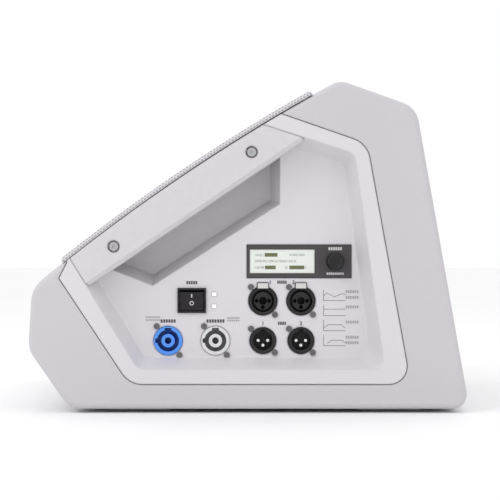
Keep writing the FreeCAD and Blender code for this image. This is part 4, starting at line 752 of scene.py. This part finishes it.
def makeKnob():
    a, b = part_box("volume_knob")
    x, z = centreOf("volume_knob")
    radius = (b[0] - a[0]) / 2
    base = b[1]
    tall = base - a[1]
    rings = [(1.0, 0.0), (1.0, knob["skirtShare"]), (0.93, 0.2), (0.91, 0.3), (0.89, 0.85), (0.87, 0.94),
             (0.82, 0.99), (0.72, 1.0), (0.68, 0.97), (0.0, 0.955)]
    form = bmesh.new()
    previous = None
    for share, level in rings:
        ring = []
        for step in range(knob["steps"]):
            angle = 2 * math.pi * step / knob["steps"]
            fluted = 0.24 < level < 0.9
            dip = knob["fluteDepth"] * (0.5 - 0.5 * math.cos(angle * knob["flutes"])) if fluted else 0.0
            reach = radius * max(share, 0.001) - dip
            across, up = reach * math.cos(angle), reach * math.sin(angle)
            ring.append(form.verts.new((x + across, base - tall * level, z + up)))
        if previous:
            for step in range(knob["steps"]):
                after = (step + 1) % knob["steps"]
                face = form.faces.new((previous[step], previous[after], ring[after], ring[step]))
                face.smooth = True
        previous = ring
    bmesh.ops.recalc_face_normals(form, faces=form.faces)
    mesh = bpy.data.meshes.new("flutedKnob")
    form.to_mesh(mesh)
    form.free()
    newPiece("flutedKnob", mesh, finishes["black_plastic"], "volume_control",
             ("volume_knob",))


makeKnob()

switch = {"tiltDegrees": 8.0, "bar": (0.001, 0.003), "ring": (0.0012, 0.0018),
          "barUp": 0.0045, "ringUp": -0.0018, "lift": 0.0002, "pivotIn": 0.002, "halfTall": 0.0075,
          "flat": 0.001, "cap": 0.0045, "dip": 0.0014}


def makeSwitchMarks():
    # the on bar and the off ring, on the two halves of the rocker
    x, z = centreOf("rocker_frame")
    pivot = Vector((x, floorY + switch["pivotIn"], z))
    tilt = Matrix.Rotation(math.radians(switch["tiltDegrees"]), 3, "X")
    halfTall, flat = switch["halfTall"], switch["flat"]

    def onCap(across, up):
        dip = switch["dip"] * max(0.0, 1 - (abs(up) - flat) / (halfTall - flat))
        level = switch["cap"] - dip + switch["lift"]
        return pivot + tilt @ Vector((across, -level, up))

    form = bmesh.new()
    wide, tall = switch["bar"]
    spots = ((-1, -1), (1, -1), (1, 1), (-1, 1))
    form.faces.new([form.verts.new(onCap(s * wide / 2, switch["barUp"] + t * tall / 2)) for s, t in spots])
    inner, outer = switch["ring"]
    steps = 32
    for step in range(steps):
        first, after = (2 * math.pi * k / steps for k in (step, step + 1))
        corners = ((inner, first), (outer, first), (outer, after), (inner, after))
        spots = [(r * math.cos(t), switch["ringUp"] + r * math.sin(t)) for r, t in corners]
        form.faces.new([form.verts.new(onCap(across, up)) for across, up in spots])
    mesh = bpy.data.meshes.new("switchMarks")
    form.to_mesh(mesh)
    form.free()
    newPiece("switchMarks", mesh, paintFinish, "power_rocker")


makeSwitchMarks()
print("controls detailed")


# floor, light and camera

room = {"floorColour": (0.93, 0.93, 0.94), "floorDrift": (0.95, 0.95, 0.955), "skyStrength": 1.0,
        "keyStrength": 8.0, "fillStrength": 3.0}


def makeFloor():
    mesh = bpy.data.meshes.new("studioFloor")
    form = bmesh.new()
    bmesh.ops.create_grid(form, x_segments=1, y_segments=1, size=12.0)
    form.to_mesh(mesh)
    form.free()
    floor = bpy.data.objects.new("studioFloor", mesh)
    bpy.context.scene.collection.objects.link(floor)
    material, nodes, links, shader, place = startMaterial("studioPaper")
    cloud = noiseNode(nodes, links, place, 3.0, 2.0)
    paper = mixColour(nodes, links, cloud, room["floorColour"], room["floorDrift"])
    links.new(paper, shader.inputs["Base Color"])
    shader.inputs["Roughness"].default_value = 0.6
    floor.data.materials.append(material)
    floor.location.z = -0.0002


def makeLight(name, place, target, size, strength):
    lamp = bpy.data.lights.new(name, "AREA")
    lamp.energy = strength
    lamp.size = size
    light = bpy.data.objects.new(name, lamp)
    bpy.context.scene.collection.objects.link(light)
    light.location = place
    light.rotation_euler = (Vector(target) - Vector(place)).to_track_quat("-Z", "Y").to_euler()


def makeRoom():
    makeFloor()
    world = bpy.data.worlds.new("paleStudio")
    bpy.context.scene.world = world
    world.use_nodes = True
    background = world.node_tree.nodes["Background"]
    background.inputs["Color"].default_value = (1.0, 1.0, 1.0, 1.0)
    background.inputs["Strength"].default_value = room["skyStrength"]
    makeLight("keyLight", (-1.1, -1.2, 1.7), (0.0, 0.0, 0.1), 1.0, room["keyStrength"])
    makeLight("topLight", (0.1, 0.3, 2.2), (0.0, 0.0, 0.1), 1.6, room["fillStrength"])


camera = {"distance": 1.5, "lens": 131.0, "sensor": 36.0, "aimX": 0.0018, "height": 0.1343}


def makeCamera():
    data = bpy.data.cameras.new("viewer")
    data.lens = camera["lens"]
    data.sensor_width = camera["sensor"]
    viewer = bpy.data.objects.new("viewer", data)
    bpy.context.scene.collection.objects.link(viewer)
    viewer.location = (camera["aimX"], cadBounds[0][1] - camera["distance"], camera["height"])
    viewer.rotation_euler = (math.pi / 2, 0.0, 0.0)
    bpy.context.scene.camera = viewer


makeRoom()
makeCamera()
bpy.context.scene.view_settings.view_transform = "Standard"
print("studio ready")
